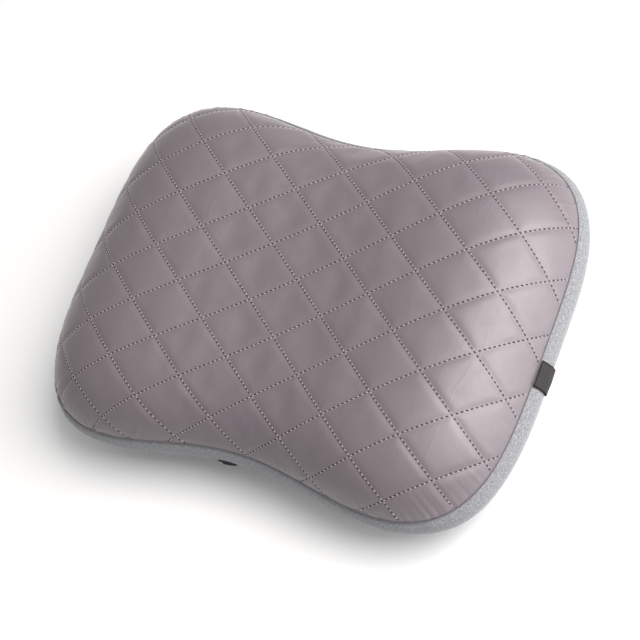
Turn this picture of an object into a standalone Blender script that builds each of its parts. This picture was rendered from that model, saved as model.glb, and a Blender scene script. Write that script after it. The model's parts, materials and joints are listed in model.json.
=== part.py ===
"""Camp pillow: a quilted cover over an inflatable bladder, zipped underneath, with its valve in the side.

Metres, +Z up. The origin is on the floor under the middle of the pillow, and +X runs along its length.
"""
import math

import bmesh
import bpy
from mathutils import Matrix, Vector

# Form of the cover
LENGTH = 0.430
END_WIDTH = 0.350            # width that the outline tends to before its corners round it off
WAIST_WIDTH = 0.281
WAIST_REACH = 0.132          # how far along the length the waist is felt
OUTLINE_POWER = 3.88         # squareness of the outline
GIRTH_HEIGHT = 0.0484        # the widest line, above the floor
CROWN = 0.0595               # top of the end lobes, above the girth
SADDLE = 0.018               # how far the middle of the top lies below the lobes
SADDLE_REACH = 0.128
TOP_FULLNESS = 5.84
TOP_ROUNDNESS = 1.30
BOTTOM_FULLNESS = 4.06
BOTTOM_ROUNDNESS = 2.0
SETTLE = 0.0035              # depth of the underside that the floor presses flat
SEAM_HEIGHT = 0.0106         # the seam of the top panel, above the girth

# Layers
FACE_THICKNESS = 0.0008
WADDING_THICKNESS = 0.0040
LINING_THICKNESS = 0.0006
BACK_THICKNESS = 0.0008
SKIN_THICKNESS = 0.0005
GAP = 0.0003                 # between layers that touch
SLOPE_SHARE = 0.78           # least share of an inset that is left between two nested forms
FACET_ROOM = 0.0015          # for the flat facets of two nested forms
BINDING_RADIUS = 0.0009
BINDING_FIT = 0.00023        # between the bead and the back panel, over the usual two gaps
FLANGE_WIDTH = 0.0045        # weld round the bladder

# Baffles in the bladder
BAFFLE_PITCH = 0.090
BAFFLE_THICKNESS = 0.0005
BAFFLE_CLEARANCE = 0.0006
BAFFLE_SETBACK = 0.022       # from a baffle's end to the side of the bladder
AIR_HOLE_RADIUS = 0.009
AIR_HOLE_PITCH = 0.060
CROWN_SAG = 0.0012           # how far a film's flat facets lie under the rounded form, in the middle
SHOULDER_SAG = 0.0025        # and how much further where the waist's half width is reached

# Zip
ZIP_Y = 0.045
ZIP_OPENING = 0.230
ZIP_GAP = 0.010              # width of chain that shows
HEM_HEIGHT = 0.0045          # the zip is set back from the floor by this hem
TAPE_WIDTH = 0.012
TAPE_THICKNESS = 0.0004
TAPE_OVERRUN = 0.010
COIL_WIDTH = 0.0018
COIL_HEIGHT = 0.0014
COIL_SPACING = 0.0016        # between the two coils, where the slider's post runs
SLIDER_LENGTH = 0.0085
SLIDER_WIDTH = 0.0064
PLATE_THICKNESS = 0.0006
BAIL_ROOM = 0.0011
BAIL_WIDTH = 0.0014
BAIL_LEG = 0.0008
PULL_THICKNESS = 0.0005
PULL_WIDTH = 0.0048
PULL_LENGTH = 0.020
PULL_SLOT = 0.0048           # from the pull's crossbar to its tab
PULL_RIM = 0.0010
STOP_LENGTH = 0.0020

# Valve
VALVE_X = -0.018
VALVE_DROP = 0.013           # below the girth
VALVE_SEAT = 0.00032         # between the valve's flange and the bladder and its weld
VALVE_SUNK = 0.0012          # the lip lies this far below the cover's surface
VALVE_BORE = 0.0064
VALVE_WALL = 0.0010
VALVE_LIP = 0.0014
VALVE_FLANGE = 0.0026        # width of the weld flange outside the wall
VALVE_FIT = 0.0005           # round the plug and round the cap's stem
PLUG_THICKNESS = 0.0010
PLUG_STEM = 0.0030
PORT_RADIUS = 0.0038
CAP_RADIUS = 0.0060
CAP_THICKNESS = 0.0016
CAP_STEM = 0.0018
FLAP_THICKNESS = 0.0006
FLAP_TRAVEL = 0.0015
HOLE_CLEARANCE = 0.0010      # round the lip, in the cover
TETHER_WIDTH = 0.0040
TETHER_LENGTH = 0.0016
TETHER_THICKNESS = 0.0005
EYELET_WIDTH = 0.0026
EYELET_THICKNESS = 0.0008
EYELET_SEAT = 0.0007         # between the facing ring and the back of the cover

# Side tab
TAB_Y = -0.016
TAB_WIDTH = 0.0205
TAB_DROP = 0.0170
TAB_THICKNESS = 0.0011
TAB_GAP = 0.0005

# Fineness of the sheets, the turned pieces, the baffles and their holes
SPOKES = 36
RINGS = 8
SIDE_SHARE = 1 - 1 / RINGS   # a wrapped sheet reaches the girth here, and its last ring is the rim beyond
TURNS = 32
TAB_ROWS = 6
BAFFLE_STEPS = 10
HOLE_STEPS = 12
DEPTH_STEP = 0.0001          # when feeling for the form from the valve's circle
DEPTH_STEPS = 100

COVER_INSET = (FACE_THICKNESS + WADDING_THICKNESS + LINING_THICKNESS + 3 * GAP) / SLOPE_SHARE + FACET_ROOM
TAPE_Z = HEM_HEIGHT + GAP
COIL_Z = TAPE_Z - GAP - COIL_HEIGHT
UPPER_PLATE_Z = TAPE_Z + TAPE_THICKNESS + GAP
LOWER_PLATE_Z = COIL_Z - GAP - PLATE_THICKNESS
BAIL_Z = LOWER_PLATE_Z - BAIL_ROOM - PLATE_THICKNESS
PULL_Z = LOWER_PLATE_Z - BAIL_ROOM / 2
BLADDER_FLOOR = UPPER_PLATE_Z + PLATE_THICKNESS + GAP
SLIDER_X = ZIP_OPENING / 2 - SLIDER_LENGTH / 2 - STOP_LENGTH - GAP

COLOURS = {
    "satin": ((0.235, 0.195, 0.215, 1), 0.38, 0.0),
    "heather": ((0.40, 0.39, 0.42, 1), 0.85, 0.0),
    "wadding": ((0.85, 0.85, 0.83, 1), 0.95, 0.0),
    "lining": ((0.55, 0.54, 0.55, 1), 0.80, 0.0),
    "ribbon": ((0.10, 0.095, 0.10, 1), 0.70, 0.0),
    "binding": ((0.20, 0.19, 0.20, 1), 0.80, 0.0),
    "zip_nylon": ((0.08, 0.08, 0.085, 1), 0.45, 0.0),
    "zip_metal": ((0.30, 0.30, 0.31, 1), 0.35, 0.9),
    "bladder_film": ((0.62, 0.63, 0.66, 1), 0.40, 0.0),
    "valve_plastic": ((0.02, 0.02, 0.022, 1), 0.40, 0.0),
    "silicone": ((0.75, 0.75, 0.73, 1), 0.50, 0.0),
}


def clear_scene():
    for item in list(bpy.data.objects):
        bpy.data.objects.remove(item, do_unlink=True)


def collection(name):
    group = bpy.data.collections.new(name)
    bpy.context.scene.collection.children.link(group)
    return group


def finish(item, colour):
    """Give a piece its own material in one of the object's colours."""
    base, roughness, metallic = COLOURS[colour]
    material = bpy.data.materials.new(item.name)
    material.use_nodes = True
    shader = material.node_tree.nodes["Principled BSDF"]
    shader.inputs["Base Color"].default_value = base
    shader.inputs["Roughness"].default_value = roughness
    shader.inputs["Metallic"].default_value = metallic
    item.data.materials.append(material)
    return item


def mesh_object(name, mesh, group):
    data = bpy.data.meshes.new(name)
    mesh.to_mesh(data)
    mesh.free()
    item = bpy.data.objects.new(name, data)
    group.objects.link(item)
    return item


def outline_radius(angle):
    """Distance from the middle to the girth, in the direction of an angle."""
    waist = 1 - WAIST_WIDTH / END_WIDTH
    low, high = 0.0, LENGTH
    for _ in range(40):
        middle = (low + high) / 2
        x, y = abs(middle * math.cos(angle)), abs(middle * math.sin(angle))
        along = max(1 - (x / (LENGTH / 2)) ** OUTLINE_POWER, 0)
        narrowing = 1 - waist * math.exp(-(x / WAIST_REACH) ** 2)
        width = END_WIDTH / 2 * along ** (1 / OUTLINE_POWER) * narrowing
        if y < width and along > 0:
            low = middle
        else:
            high = middle
    return (low + high) / 2


def top_point(angle, reach, inset=0.0):
    """Point of the top, reach 0 at its middle and 1 at the girth, on a form smaller all round by inset."""
    radius = (outline_radius(angle) - inset) * reach
    x, y = radius * math.cos(angle), radius * math.sin(angle)
    crown = CROWN - SADDLE * math.exp(-(x / SADDLE_REACH) ** 2) - inset
    rise = crown * max(1 - reach ** TOP_FULLNESS, 0) ** (1 / TOP_ROUNDNESS)
    return Vector((x, y, GIRTH_HEIGHT + rise))


def bottom_point(angle, reach, inset=0.0, floor=0.0):
    """Point of the underside, flat where it would reach below its floor."""
    radius = (outline_radius(angle) - inset) * reach
    depth = GIRTH_HEIGHT + SETTLE - inset
    drop = depth * max(1 - reach ** BOTTOM_FULLNESS, 0) ** (1 / BOTTOM_ROUNDNESS)
    return Vector((radius * math.cos(angle), radius * math.sin(angle), max(GIRTH_HEIGHT - drop, floor)))


def seam_reach(angle):
    """Reach at which the top has come down to the height of the seam."""
    low, high = 0.5, 1.0
    for _ in range(40):
        middle = (low + high) / 2
        if top_point(angle, middle).z > GIRTH_HEIGHT + SEAM_HEIGHT:
            low = middle
        else:
            high = middle
    return (low + high) / 2


def face_place(angle, share):
    """The top panel, from its middle (share 0) to the seam (share 1)."""
    return top_point(angle, seam_reach(angle) * math.sin(share * math.pi / 2))


def back_place(angle, share):
    """The back panel, from the middle of the underside (share 0) up the side to the seam (share 1)."""
    if share > SIDE_SHARE + 1e-6:
        edge = seam_reach(angle)
        start = top_point(angle, edge)
        lap = GAP / (start - top_point(angle, 1)).length
        return top_point(angle, edge + (1 - edge) * lap)
    return bottom_point(angle, math.sin(share / SIDE_SHARE * math.pi / 2))


def bladder_top_place(angle, share):
    """The upper film, from its middle down to the girth, and out along the weld."""
    lift = Vector((0, 0, GAP / 2 + SKIN_THICKNESS))
    if share > SIDE_SHARE + 1e-6:
        return flange_edge(angle) + lift
    return top_point(angle, math.sin(share / SIDE_SHARE * math.pi / 2), COVER_INSET) + lift


def bladder_bottom_place(angle, share):
    """The lower film, from its middle up to the girth, and out along the weld."""
    lift = Vector((0, 0, GAP / 2 + SKIN_THICKNESS))
    if share > SIDE_SHARE + 1e-6:
        return flange_edge(angle) - lift
    point = bottom_point(angle, math.sin(share / SIDE_SHARE * math.pi / 2), COVER_INSET)
    return Vector((point.x, point.y, max(point.z - lift.z, BLADDER_FLOOR)))


def flange_edge(angle):
    """Outer edge of the weld round the bladder, between its two films."""
    radius = outline_radius(angle) - COVER_INSET + FLANGE_WIDTH
    return Vector((radius * math.cos(angle), radius * math.sin(angle), GIRTH_HEIGHT))


def sheet(name, place, group, under=False):
    """Open round sheet of rings and spokes, facing out, each corner put where place(angle, share) says."""
    sign = -1 if under else 1
    mesh = bmesh.new()
    bmesh.ops.create_uvsphere(mesh, u_segments=SPOKES, v_segments=2 * RINGS, radius=1)
    beyond = [corner for corner in mesh.verts if corner.co.z * sign < -1e-4]
    bmesh.ops.delete(mesh, geom=beyond, context="VERTS")
    for corner in mesh.verts:
        share = math.acos(max(-1, min(1, corner.co.z * sign))) / (math.pi / 2)
        corner.co = place(math.atan2(corner.co.y, corner.co.x), share)
    return mesh_object(name, mesh, group)


def cut_half(item, y, keep_rear):
    """Keep the half of an open sheet in front of or behind a line across its width."""
    mesh = bmesh.new()
    mesh.from_mesh(item.data)
    geometry = list(mesh.verts) + list(mesh.edges) + list(mesh.faces)
    bmesh.ops.bisect_plane(mesh, geom=geometry, dist=1e-6, plane_co=(0, y, 0), plane_no=(0, 1, 0),
                           clear_outer=not keep_rear, clear_inner=keep_rear)
    mesh.to_mesh(item.data)
    mesh.free()


def wall(item, depth, thickness):
    """Thicken a sheet inwards, starting at a depth below it."""
    solid = item.modifiers.new("Wall", "SOLIDIFY")
    solid.thickness = thickness
    solid.offset = -1 - 2 * depth / thickness
    solid.use_even_offset = True


def block(name, low, high, group):
    """Rectangular block between two corners."""
    low, high = Vector(low), Vector(high)
    size = high - low
    mesh = bmesh.new()
    bmesh.ops.create_cube(mesh, size=1, matrix=Matrix.Diagonal((*size, 1)))
    item = mesh_object(name, mesh, group)
    item.location = (low + high) / 2
    return item


def hide_cutter(item):
    item.hide_render = True
    item.display_type = "WIRE"


def boolean(item, tool, operation):
    step = item.modifiers.new(tool.name, "BOOLEAN")
    step.operation = operation
    step.object = tool
    step.solver = "EXACT"
    hide_cutter(tool)


def turned(name, profile, group, parent=None):
    """Turned piece: a profile of (radius, height) points down its outer side, turned about Z."""
    mesh = bmesh.new()
    corners = [mesh.verts.new((radius, 0, height)) for radius, height in profile]
    for first, second in zip(corners, corners[1:] + corners[:1]):
        if first.co.x > 0 or second.co.x > 0:
            mesh.edges.new((first, second))
    item = mesh_object(name, mesh, group)
    screw = item.modifiers.new("Turn", "SCREW")
    screw.steps = TURNS
    screw.render_steps = TURNS
    screw.use_merge_vertices = True
    screw.merge_threshold = 1e-5
    screw.use_smooth_shade = True
    item.parent = parent
    return item


def empty(name, matrix, group):
    item = bpy.data.objects.new(name, None)
    group.objects.link(item)
    item.matrix_world = matrix
    return item


def make_cover(parts, cutters):
    """The cover: a quilted top panel in three layers, and the back panel that wraps up the side."""
    face = finish(sheet("face_fabric", face_place, parts), "satin")
    wall(face, 0, FACE_THICKNESS)
    wadding = finish(sheet("quilt_wadding", face_place, parts), "wadding")
    wadding_depth = FACE_THICKNESS + GAP
    wall(wadding, wadding_depth, WADDING_THICKNESS)
    lining = finish(sheet("quilt_lining", face_place, parts), "lining")
    wall(lining, wadding_depth + WADDING_THICKNESS + GAP, LINING_THICKNESS)

    half_gap = ZIP_GAP / 2
    opening = block("zip_opening_cutter", (-ZIP_OPENING / 2, ZIP_Y - half_gap, -HEM_HEIGHT),
                    (ZIP_OPENING / 2, ZIP_Y + half_gap, HEM_HEIGHT), cutters)
    panels = []
    for name, side in (("back_panel_front", -1), ("back_panel_rear", 1)):
        panel = finish(sheet(name, back_place, parts, under=True), "heather")
        cut_half(panel, ZIP_Y + side * GAP / 2, keep_rear=side > 0)
        wall(panel, 0, BACK_THICKNESS)
        edges = sorted((ZIP_Y + side * half_gap, ZIP_Y + side * (half_gap + BACK_THICKNESS)))
        hem = block(name + "_hem", (-ZIP_OPENING / 2 - BACK_THICKNESS, edges[0], BACK_THICKNESS / 2),
                    (ZIP_OPENING / 2 + BACK_THICKNESS, edges[1], HEM_HEIGHT), cutters)
        boolean(panel, opening, "DIFFERENCE")
        boolean(panel, hem, "UNION")
        panels.append(panel)
    return panels


def make_seam_binding(parts):
    """Bound seam allowance, a bead that runs round inside the cover just under the seam."""
    points = []
    for spoke in range(SPOKES):
        angle = 2 * math.pi * spoke / SPOKES
        edge = seam_reach(angle)
        seam = top_point(angle, edge)
        down = (top_point(angle, 1) - seam).normalized()
        around = Vector((-math.sin(angle), math.cos(angle), 0))
        inward = down.cross(around).normalized()
        if inward.dot(seam) > 0:
            inward.negate()
        depth = BACK_THICKNESS + 2 * GAP + BINDING_RADIUS + BINDING_FIT
        points.append(seam + inward * depth + down * (BINDING_RADIUS + 2 * GAP))
    data = bpy.data.curves.new("seam_binding", "CURVE")
    data.dimensions = "3D"
    data.bevel_depth = BINDING_RADIUS
    data.bevel_resolution = 1
    spline = data.splines.new("POLY")
    spline.points.add(SPOKES - 1)
    for point, place in zip(spline.points, points):
        point.co = (*place, 1)
    spline.use_cyclic_u = True
    item = bpy.data.objects.new("seam_binding", data)
    parts.objects.link(item)
    return finish(item, "binding")


def make_side_tab(parts):
    """Folded ribbon sewn into the seam at the +X end, lying over the side."""
    angle = math.atan2(TAB_Y, LENGTH / 2)
    seam = top_point(angle, seam_reach(angle))
    hinge = empty("side_tab_hinge", Matrix.Translation(seam), parts)
    mesh = bmesh.new()
    bmesh.ops.create_grid(mesh, x_segments=2, y_segments=TAB_ROWS, size=0.5)
    for corner in mesh.verts:
        along, down = corner.co.x, 0.5 - corner.co.y
        height = SEAM_HEIGHT - GAP - down * TAB_DROP
        if height > 0:
            share = height / CROWN
            reach = max(1 - share ** TOP_ROUNDNESS, 0) ** (1 / TOP_FULLNESS)
        else:
            share = -height / (GIRTH_HEIGHT + SETTLE)
            reach = max(1 - share ** BOTTOM_ROUNDNESS, 0) ** (1 / BOTTOM_FULLNESS)
        x = outline_radius(0) * reach
        corner.co = Vector((x, TAB_Y + along * TAB_WIDTH, GIRTH_HEIGHT + height)) - seam
    bmesh.ops.recalc_face_normals(mesh, faces=mesh.faces)
    mesh.faces.ensure_lookup_table()
    if mesh.faces[0].normal.x < 0:
        bmesh.ops.reverse_faces(mesh, faces=mesh.faces)
    tab = finish(mesh_object("side_tab", mesh, parts), "ribbon")
    tab.parent = hinge
    wall(tab, -TAB_GAP - TAB_THICKNESS, TAB_THICKNESS)
    return tab


def bladder_section(x, y):
    """Floor and roof of the bladder's form over a point."""
    angle = math.atan2(y, x)
    reach = math.hypot(x, y) / (outline_radius(angle) - COVER_INSET)
    floor = max(bottom_point(angle, reach, COVER_INSET).z, BLADDER_FLOOR)
    return floor, top_point(angle, reach, COVER_INSET).z


def make_bladder(parts, valve_hole):
    """Two films welded round the edge, held to shape by baffles with air holes."""
    top = finish(sheet("bladder_top_skin", bladder_top_place, parts), "bladder_film")
    wall(top, 0, SKIN_THICKNESS)
    bottom = finish(sheet("bladder_bottom_skin", bladder_bottom_place, parts, under=True), "bladder_film")
    wall(bottom, 0, SKIN_THICKNESS)
    boolean(bottom, valve_hole, "DIFFERENCE")
    for name, x in (("baffle_left", -BAFFLE_PITCH), ("baffle_middle", 0.0), ("baffle_right", BAFFLE_PITCH)):
        make_baffle(name, x, parts)


def make_baffle(name, x, parts):
    """Upright film across the bladder at x, with round holes that let the air through."""
    half = outline_radius(math.pi / 2) - COVER_INSET - SKIN_THICKNESS - BAFFLE_SETBACK
    room = SKIN_THICKNESS + BAFFLE_CLEARANCE
    floor, roof = [], []
    for step in range(BAFFLE_STEPS + 1):
        y = half * (2 * step / BAFFLE_STEPS - 1)
        low, high = bladder_section(x, y)
        sag = CROWN_SAG + SHOULDER_SAG * (y / (WAIST_WIDTH / 2)) ** 2
        floor.append((y, low + room))
        roof.append((y, high - room - sag))
    data = bpy.data.curves.new(name, "CURVE")
    data.dimensions = "2D"
    data.fill_mode = "BOTH"
    data.extrude = BAFFLE_THICKNESS / 2
    add_outline(data, roof + floor[::-1])
    for side in (-1, 0, 1):
        turns = [2 * math.pi * index / HOLE_STEPS for index in range(HOLE_STEPS)]
        add_outline(data, [(side * AIR_HOLE_PITCH + AIR_HOLE_RADIUS * math.cos(turn),
                            GIRTH_HEIGHT + AIR_HOLE_RADIUS * math.sin(turn)) for turn in turns])
    item = bpy.data.objects.new(name, data)
    parts.objects.link(item)
    upright = Matrix(((0, 0, 1, 0), (1, 0, 0, 0), (0, 1, 0, 0), (0, 0, 0, 1)))
    item.matrix_world = Matrix.Translation((x, 0, 0)) @ upright
    finish(item, "bladder_film")


def add_outline(data, points):
    """Add a closed outline of flat points to a curve."""
    edge = data.splines.new("POLY")
    edge.points.add(len(points) - 1)
    for point, (across, up) in zip(edge.points, points):
        point.co = (across, up, 0, 1)
    edge.use_cyclic_u = True


def make_zip(parts, cutters):
    """Coil zip set back in the hem: tapes, coils, stops, slider and pull."""
    end = ZIP_OPENING / 2 + TAPE_OVERRUN
    for name, side in (("front", -1), ("rear", 1)):
        near, far = COIL_SPACING / 2, COIL_SPACING / 2 + TAPE_WIDTH
        sides = sorted((ZIP_Y + side * near, ZIP_Y + side * far))
        tape = block("zip_tape_" + name, (-end, sides[0], TAPE_Z),
                     (end, sides[1], TAPE_Z + TAPE_THICKNESS), parts)
        finish(tape, "zip_nylon")
        sides = sorted((ZIP_Y + side * near, ZIP_Y + side * (near + COIL_WIDTH)))
        coil_end = ZIP_OPENING / 2 - STOP_LENGTH - GAP
        coil = block("zip_coil_" + name, (-coil_end, sides[0], COIL_Z),
                     (coil_end, sides[1], COIL_Z + COIL_HEIGHT), parts)
        finish(coil, "zip_nylon")
        stop = block("zip_top_stop_" + name, (coil_end + GAP, sides[0], COIL_Z),
                     (coil_end + GAP + STOP_LENGTH, sides[1], COIL_Z + COIL_HEIGHT), parts)
        finish(stop, "zip_metal")
    reach = COIL_SPACING / 2 + COIL_WIDTH
    stop = block("zip_bottom_stop", (-coil_end - GAP - STOP_LENGTH, ZIP_Y - reach, COIL_Z),
                 (-coil_end - GAP, ZIP_Y + reach, COIL_Z + COIL_HEIGHT), parts)
    finish(stop, "zip_metal")
    make_slider(parts, cutters)


def make_slider(parts, cutters):
    """Slider: two plates joined by a post between the coils, with a bail below that carries the pull."""
    half, side = SLIDER_LENGTH / 2, SLIDER_WIDTH / 2
    post = (COIL_SPACING - 2 * GAP) / 2
    bail = BAIL_WIDTH / 2
    bail_end = half - BAIL_LEG
    start = empty("zip_slider_start", Matrix.Translation((SLIDER_X, ZIP_Y, TAPE_Z)), parts)

    def piece(name, low, high, group=cutters):
        low, high = (Vector(corner) - Vector((0, 0, TAPE_Z)) for corner in (low, high))
        item = block(name, low, high, group)
        item.parent = start
        return item

    plate_high = PLATE_THICKNESS + LOWER_PLATE_Z
    slider = piece("zip_slider", (-half, -side, LOWER_PLATE_Z), (half, side, plate_high), parts)
    finish(slider, "zip_metal")
    sunk = LOWER_PLATE_Z + PLATE_THICKNESS / 2
    joined = (
        piece("slider_upper_plate", (-half, -side, UPPER_PLATE_Z),
              (half, side, UPPER_PLATE_Z + PLATE_THICKNESS)),
        piece("slider_post", (half - 3 * post, -post, sunk),
              (half - GAP, post, UPPER_PLATE_Z + PLATE_THICKNESS / 2)),
        piece("slider_bail_rear", (-bail_end, -bail, BAIL_Z), (-bail_end + BAIL_LEG, bail, sunk)),
        piece("slider_bail_front", (bail_end - BAIL_LEG, -bail, BAIL_Z), (bail_end, bail, sunk)),
        piece("slider_bail_bar", (-bail_end + PLATE_THICKNESS / 2, -bail, BAIL_Z),
              (bail_end - PLATE_THICKNESS / 2, bail, BAIL_Z + PLATE_THICKNESS)),
    )
    for tool in joined:
        boolean(slider, tool, "UNION")
    make_pull(parts, cutters)


def make_pull(parts, cutters):
    """Pull: a flat tab with a slot, whose crossbar passes through the slider's bail."""
    hinge = empty("zip_pull_hinge", Matrix.Translation((SLIDER_X, ZIP_Y, PULL_Z)), parts)
    half = PULL_THICKNESS / 2
    pull = block("zip_pull", (-PULL_LENGTH, -PULL_WIDTH / 2, -half), (half, PULL_WIDTH / 2, half), parts)
    pull.parent = hinge
    finish(pull, "zip_metal")
    slot = block("pull_slot", (-PULL_SLOT - half, -PULL_WIDTH / 2 + PULL_RIM, -PULL_LENGTH / 2),
                 (-half, PULL_WIDTH / 2 - PULL_RIM, PULL_LENGTH / 2), cutters)
    slot.parent = hinge
    boolean(pull, slot, "DIFFERENCE")


def valve_matrix():
    """Frame on the cover's side, square to it, its Z pointing out along the valve's axis."""
    reach = max(1 - (VALVE_DROP / (GIRTH_HEIGHT + SETTLE)) ** BOTTOM_ROUNDNESS, 0) ** (1 / BOTTOM_FULLNESS)
    angle = math.atan2(-WAIST_WIDTH / 2, VALVE_X)
    step = 0.002
    around = bottom_point(angle + step, reach) - bottom_point(angle - step, reach)
    outward = bottom_point(angle, reach + step) - bottom_point(angle, reach - step)
    axis = around.cross(outward).normalized()
    across = Vector((0, 0, 1)).cross(axis).normalized()
    turn = Matrix((across, axis.cross(across), axis)).transposed().to_4x4()
    return Matrix.Translation(bottom_point(angle, reach)) @ turn


def depths_to(inside, radius):
    """How far in from a circle round the valve's axis the first point inside something lies."""
    frame = valve_matrix()
    depths = []
    for turn in range(2 * TURNS):
        angle = math.pi * turn / TURNS
        start = frame @ Vector((radius * math.cos(angle), radius * math.sin(angle), 0))
        step = -DEPTH_STEPS
        while not inside(start - step * DEPTH_STEP * frame.col[2].xyz):
            step += 1
        depths.append(step * DEPTH_STEP)
    return depths


def in_form(point, inset):
    """Whether a point is in the form that is smaller all round by inset."""
    angle = math.atan2(point.y, point.x)
    reach = point.xy.length / (outline_radius(angle) - inset)
    return reach < 1 and bottom_point(angle, reach, inset).z < point.z < top_point(angle, reach, inset).z


def in_back(point):
    return in_form(point, BACK_THICKNESS)


def in_bladder(point):
    """Whether a point is in the bladder or in the weld round it."""
    weld = flange_edge(math.atan2(point.y, point.x))
    in_weld = abs(point.z - weld.z) < GAP / 2 + SKIN_THICKNESS and point.xy.length < weld.xy.length
    return in_weld or in_form(point, COVER_INSET)


def make_valve(parts, cutters, panel):
    """Two-stage valve: a base welded to the bladder, a plug, and in it a flap and a cap."""
    frame = empty("valve_frame", valve_matrix(), parts)
    outer = VALVE_BORE + VALVE_WALL
    lip = outer + VALVE_LIP
    lip_low = -VALVE_SUNK - PLUG_THICKNESS
    flange = outer + VALVE_FLANGE
    foot = VALVE_SEAT - min(depths_to(in_bladder, flange))
    flange_top = foot + PLUG_THICKNESS
    profile = [(VALVE_BORE, -VALVE_SUNK), (lip, -VALVE_SUNK), (lip, lip_low), (outer, lip_low),
               (outer, flange_top), (flange, flange_top), (flange, foot), (VALVE_BORE, foot)]
    finish(turned("valve_base", profile, parts, frame), "valve_plastic")

    plug_low = -VALVE_SUNK + GAP
    plug_high = plug_low + PLUG_THICKNESS
    stem = VALVE_BORE - VALVE_FIT
    stem_low = plug_low - PLUG_STEM
    profile = [(PORT_RADIUS, plug_high), (lip, plug_high), (lip, plug_low), (stem, plug_low),
               (stem, stem_low), (PORT_RADIUS, stem_low)]
    make_lid("valve_plug", profile, lip, plug_low, PLUG_THICKNESS, (parts, cutters), frame)

    cap_low = plug_high + GAP
    cap_high = cap_low + CAP_THICKNESS
    cap_stem = PORT_RADIUS - VALVE_FIT
    round_off = CAP_THICKNESS / 2
    profile = [(0, cap_high), (CAP_RADIUS - 2 * round_off, cap_high), (CAP_RADIUS, cap_high - round_off),
               (CAP_RADIUS, cap_low), (cap_stem, cap_low), (cap_stem, cap_low - CAP_STEM),
               (0, cap_low - CAP_STEM)]
    make_lid("valve_cap", profile, CAP_RADIUS, cap_low, round_off, (parts, cutters), frame)

    flap_high = stem_low - GAP
    flap_low = flap_high - FLAP_THICKNESS
    flap_edge = (stem + PORT_RADIUS) / 2
    profile = [(0, flap_high), (flap_edge, flap_high), (flap_edge, flap_low), (0, flap_low)]
    finish(turned("valve_flap", profile, parts, frame), "silicone")

    hole = lip + HOLE_CLEARANCE
    ring_edge = hole + EYELET_WIDTH
    ring_high = -max(depths_to(in_back, ring_edge)) - EYELET_SEAT
    ring_low = ring_high - EYELET_THICKNESS
    profile = [(hole, ring_high), (ring_edge, ring_high), (ring_edge, ring_low), (hole, ring_low)]
    finish(turned("valve_eyelet", profile, parts, frame), "binding")
    profile = [(0, COVER_INSET), (hole, COVER_INSET), (hole, ring_high), (0, ring_high)]
    boolean(panel, turned("cover_hole", profile, cutters, frame), "DIFFERENCE")


def make_lid(name, profile, edge, low, rim, groups, frame):
    """Turned lid whose short tether reaches down to a hinge beyond its rim, at half the rim's height."""
    hinge_y, hinge_z = -edge - TETHER_LENGTH, low + rim / 2
    hinge = empty(name + "_hinge", Matrix.Translation((0, hinge_y, hinge_z)), groups[0])
    hinge.parent = frame
    lid = finish(turned(name, profile, groups[0], hinge), "valve_plastic")
    lid.location = (0, -hinge_y, -hinge_z)
    tether = block(name + "_tether", (-TETHER_WIDTH / 2, 0, -TETHER_THICKNESS / 2),
                   (TETHER_WIDTH / 2, 2 * TETHER_LENGTH, TETHER_THICKNESS / 2), groups[1])
    tether.parent = hinge
    boolean(lid, tether, "UNION")


def make_bladder_hole(cutters):
    """Cutter for the hole in the bladder, under the valve's flange."""
    frame = empty("bladder_hole_frame", valve_matrix(), cutters)
    radius = VALVE_BORE + VALVE_WALL
    reach = 3 * COVER_INSET
    return turned("bladder_hole", [(0, 0), (radius, 0), (radius, -reach), (0, -reach)], cutters, frame)


def main():
    clear_scene()
    parts = collection("camp_pillow")
    cutters = collection("cutters")
    panels = make_cover(parts, cutters)
    make_seam_binding(parts)
    make_side_tab(parts)
    make_bladder(parts, make_bladder_hole(cutters))
    make_zip(parts, cutters)
    make_valve(parts, cutters, panels[0])


main()
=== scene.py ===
"""Camp pillow: a quilted satin top on a heather cover, stretched over a blown-up bladder.

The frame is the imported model. Each section below dresses one group of its pieces, in the order in which the
pillow is put together, and the studio comes last. Metres, +Z up, +X towards the side tab.
"""
import json
import math

import bmesh
import bpy
import numpy as np
from mathutils import Matrix, Vector, noise


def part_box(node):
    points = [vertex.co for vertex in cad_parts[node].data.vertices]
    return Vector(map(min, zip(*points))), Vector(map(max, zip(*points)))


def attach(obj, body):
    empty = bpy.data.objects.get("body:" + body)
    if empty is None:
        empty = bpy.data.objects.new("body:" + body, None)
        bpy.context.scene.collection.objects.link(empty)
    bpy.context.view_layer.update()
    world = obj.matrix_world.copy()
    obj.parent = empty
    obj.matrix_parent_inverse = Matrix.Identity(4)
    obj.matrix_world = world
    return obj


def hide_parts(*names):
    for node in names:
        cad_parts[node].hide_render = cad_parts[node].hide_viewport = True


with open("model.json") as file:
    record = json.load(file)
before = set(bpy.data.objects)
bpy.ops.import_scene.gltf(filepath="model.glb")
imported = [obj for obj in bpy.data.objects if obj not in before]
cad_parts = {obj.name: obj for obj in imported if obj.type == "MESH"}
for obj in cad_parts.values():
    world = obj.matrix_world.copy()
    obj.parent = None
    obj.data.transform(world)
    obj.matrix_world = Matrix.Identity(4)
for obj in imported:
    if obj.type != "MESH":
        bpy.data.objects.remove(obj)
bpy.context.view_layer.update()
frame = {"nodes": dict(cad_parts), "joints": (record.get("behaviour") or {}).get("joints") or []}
nodes = frame["nodes"]
joints = {joint["name"]: joint for joint in frame["joints"]}

# --- Bladder, wadding and lining ---
# Two films of coated cloth welded round the edge, with three baffles between them that hold the pillow flat.
# They lie out of sight in the cover, as do the bound seam allowance and the facing behind the valve's hole.


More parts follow.
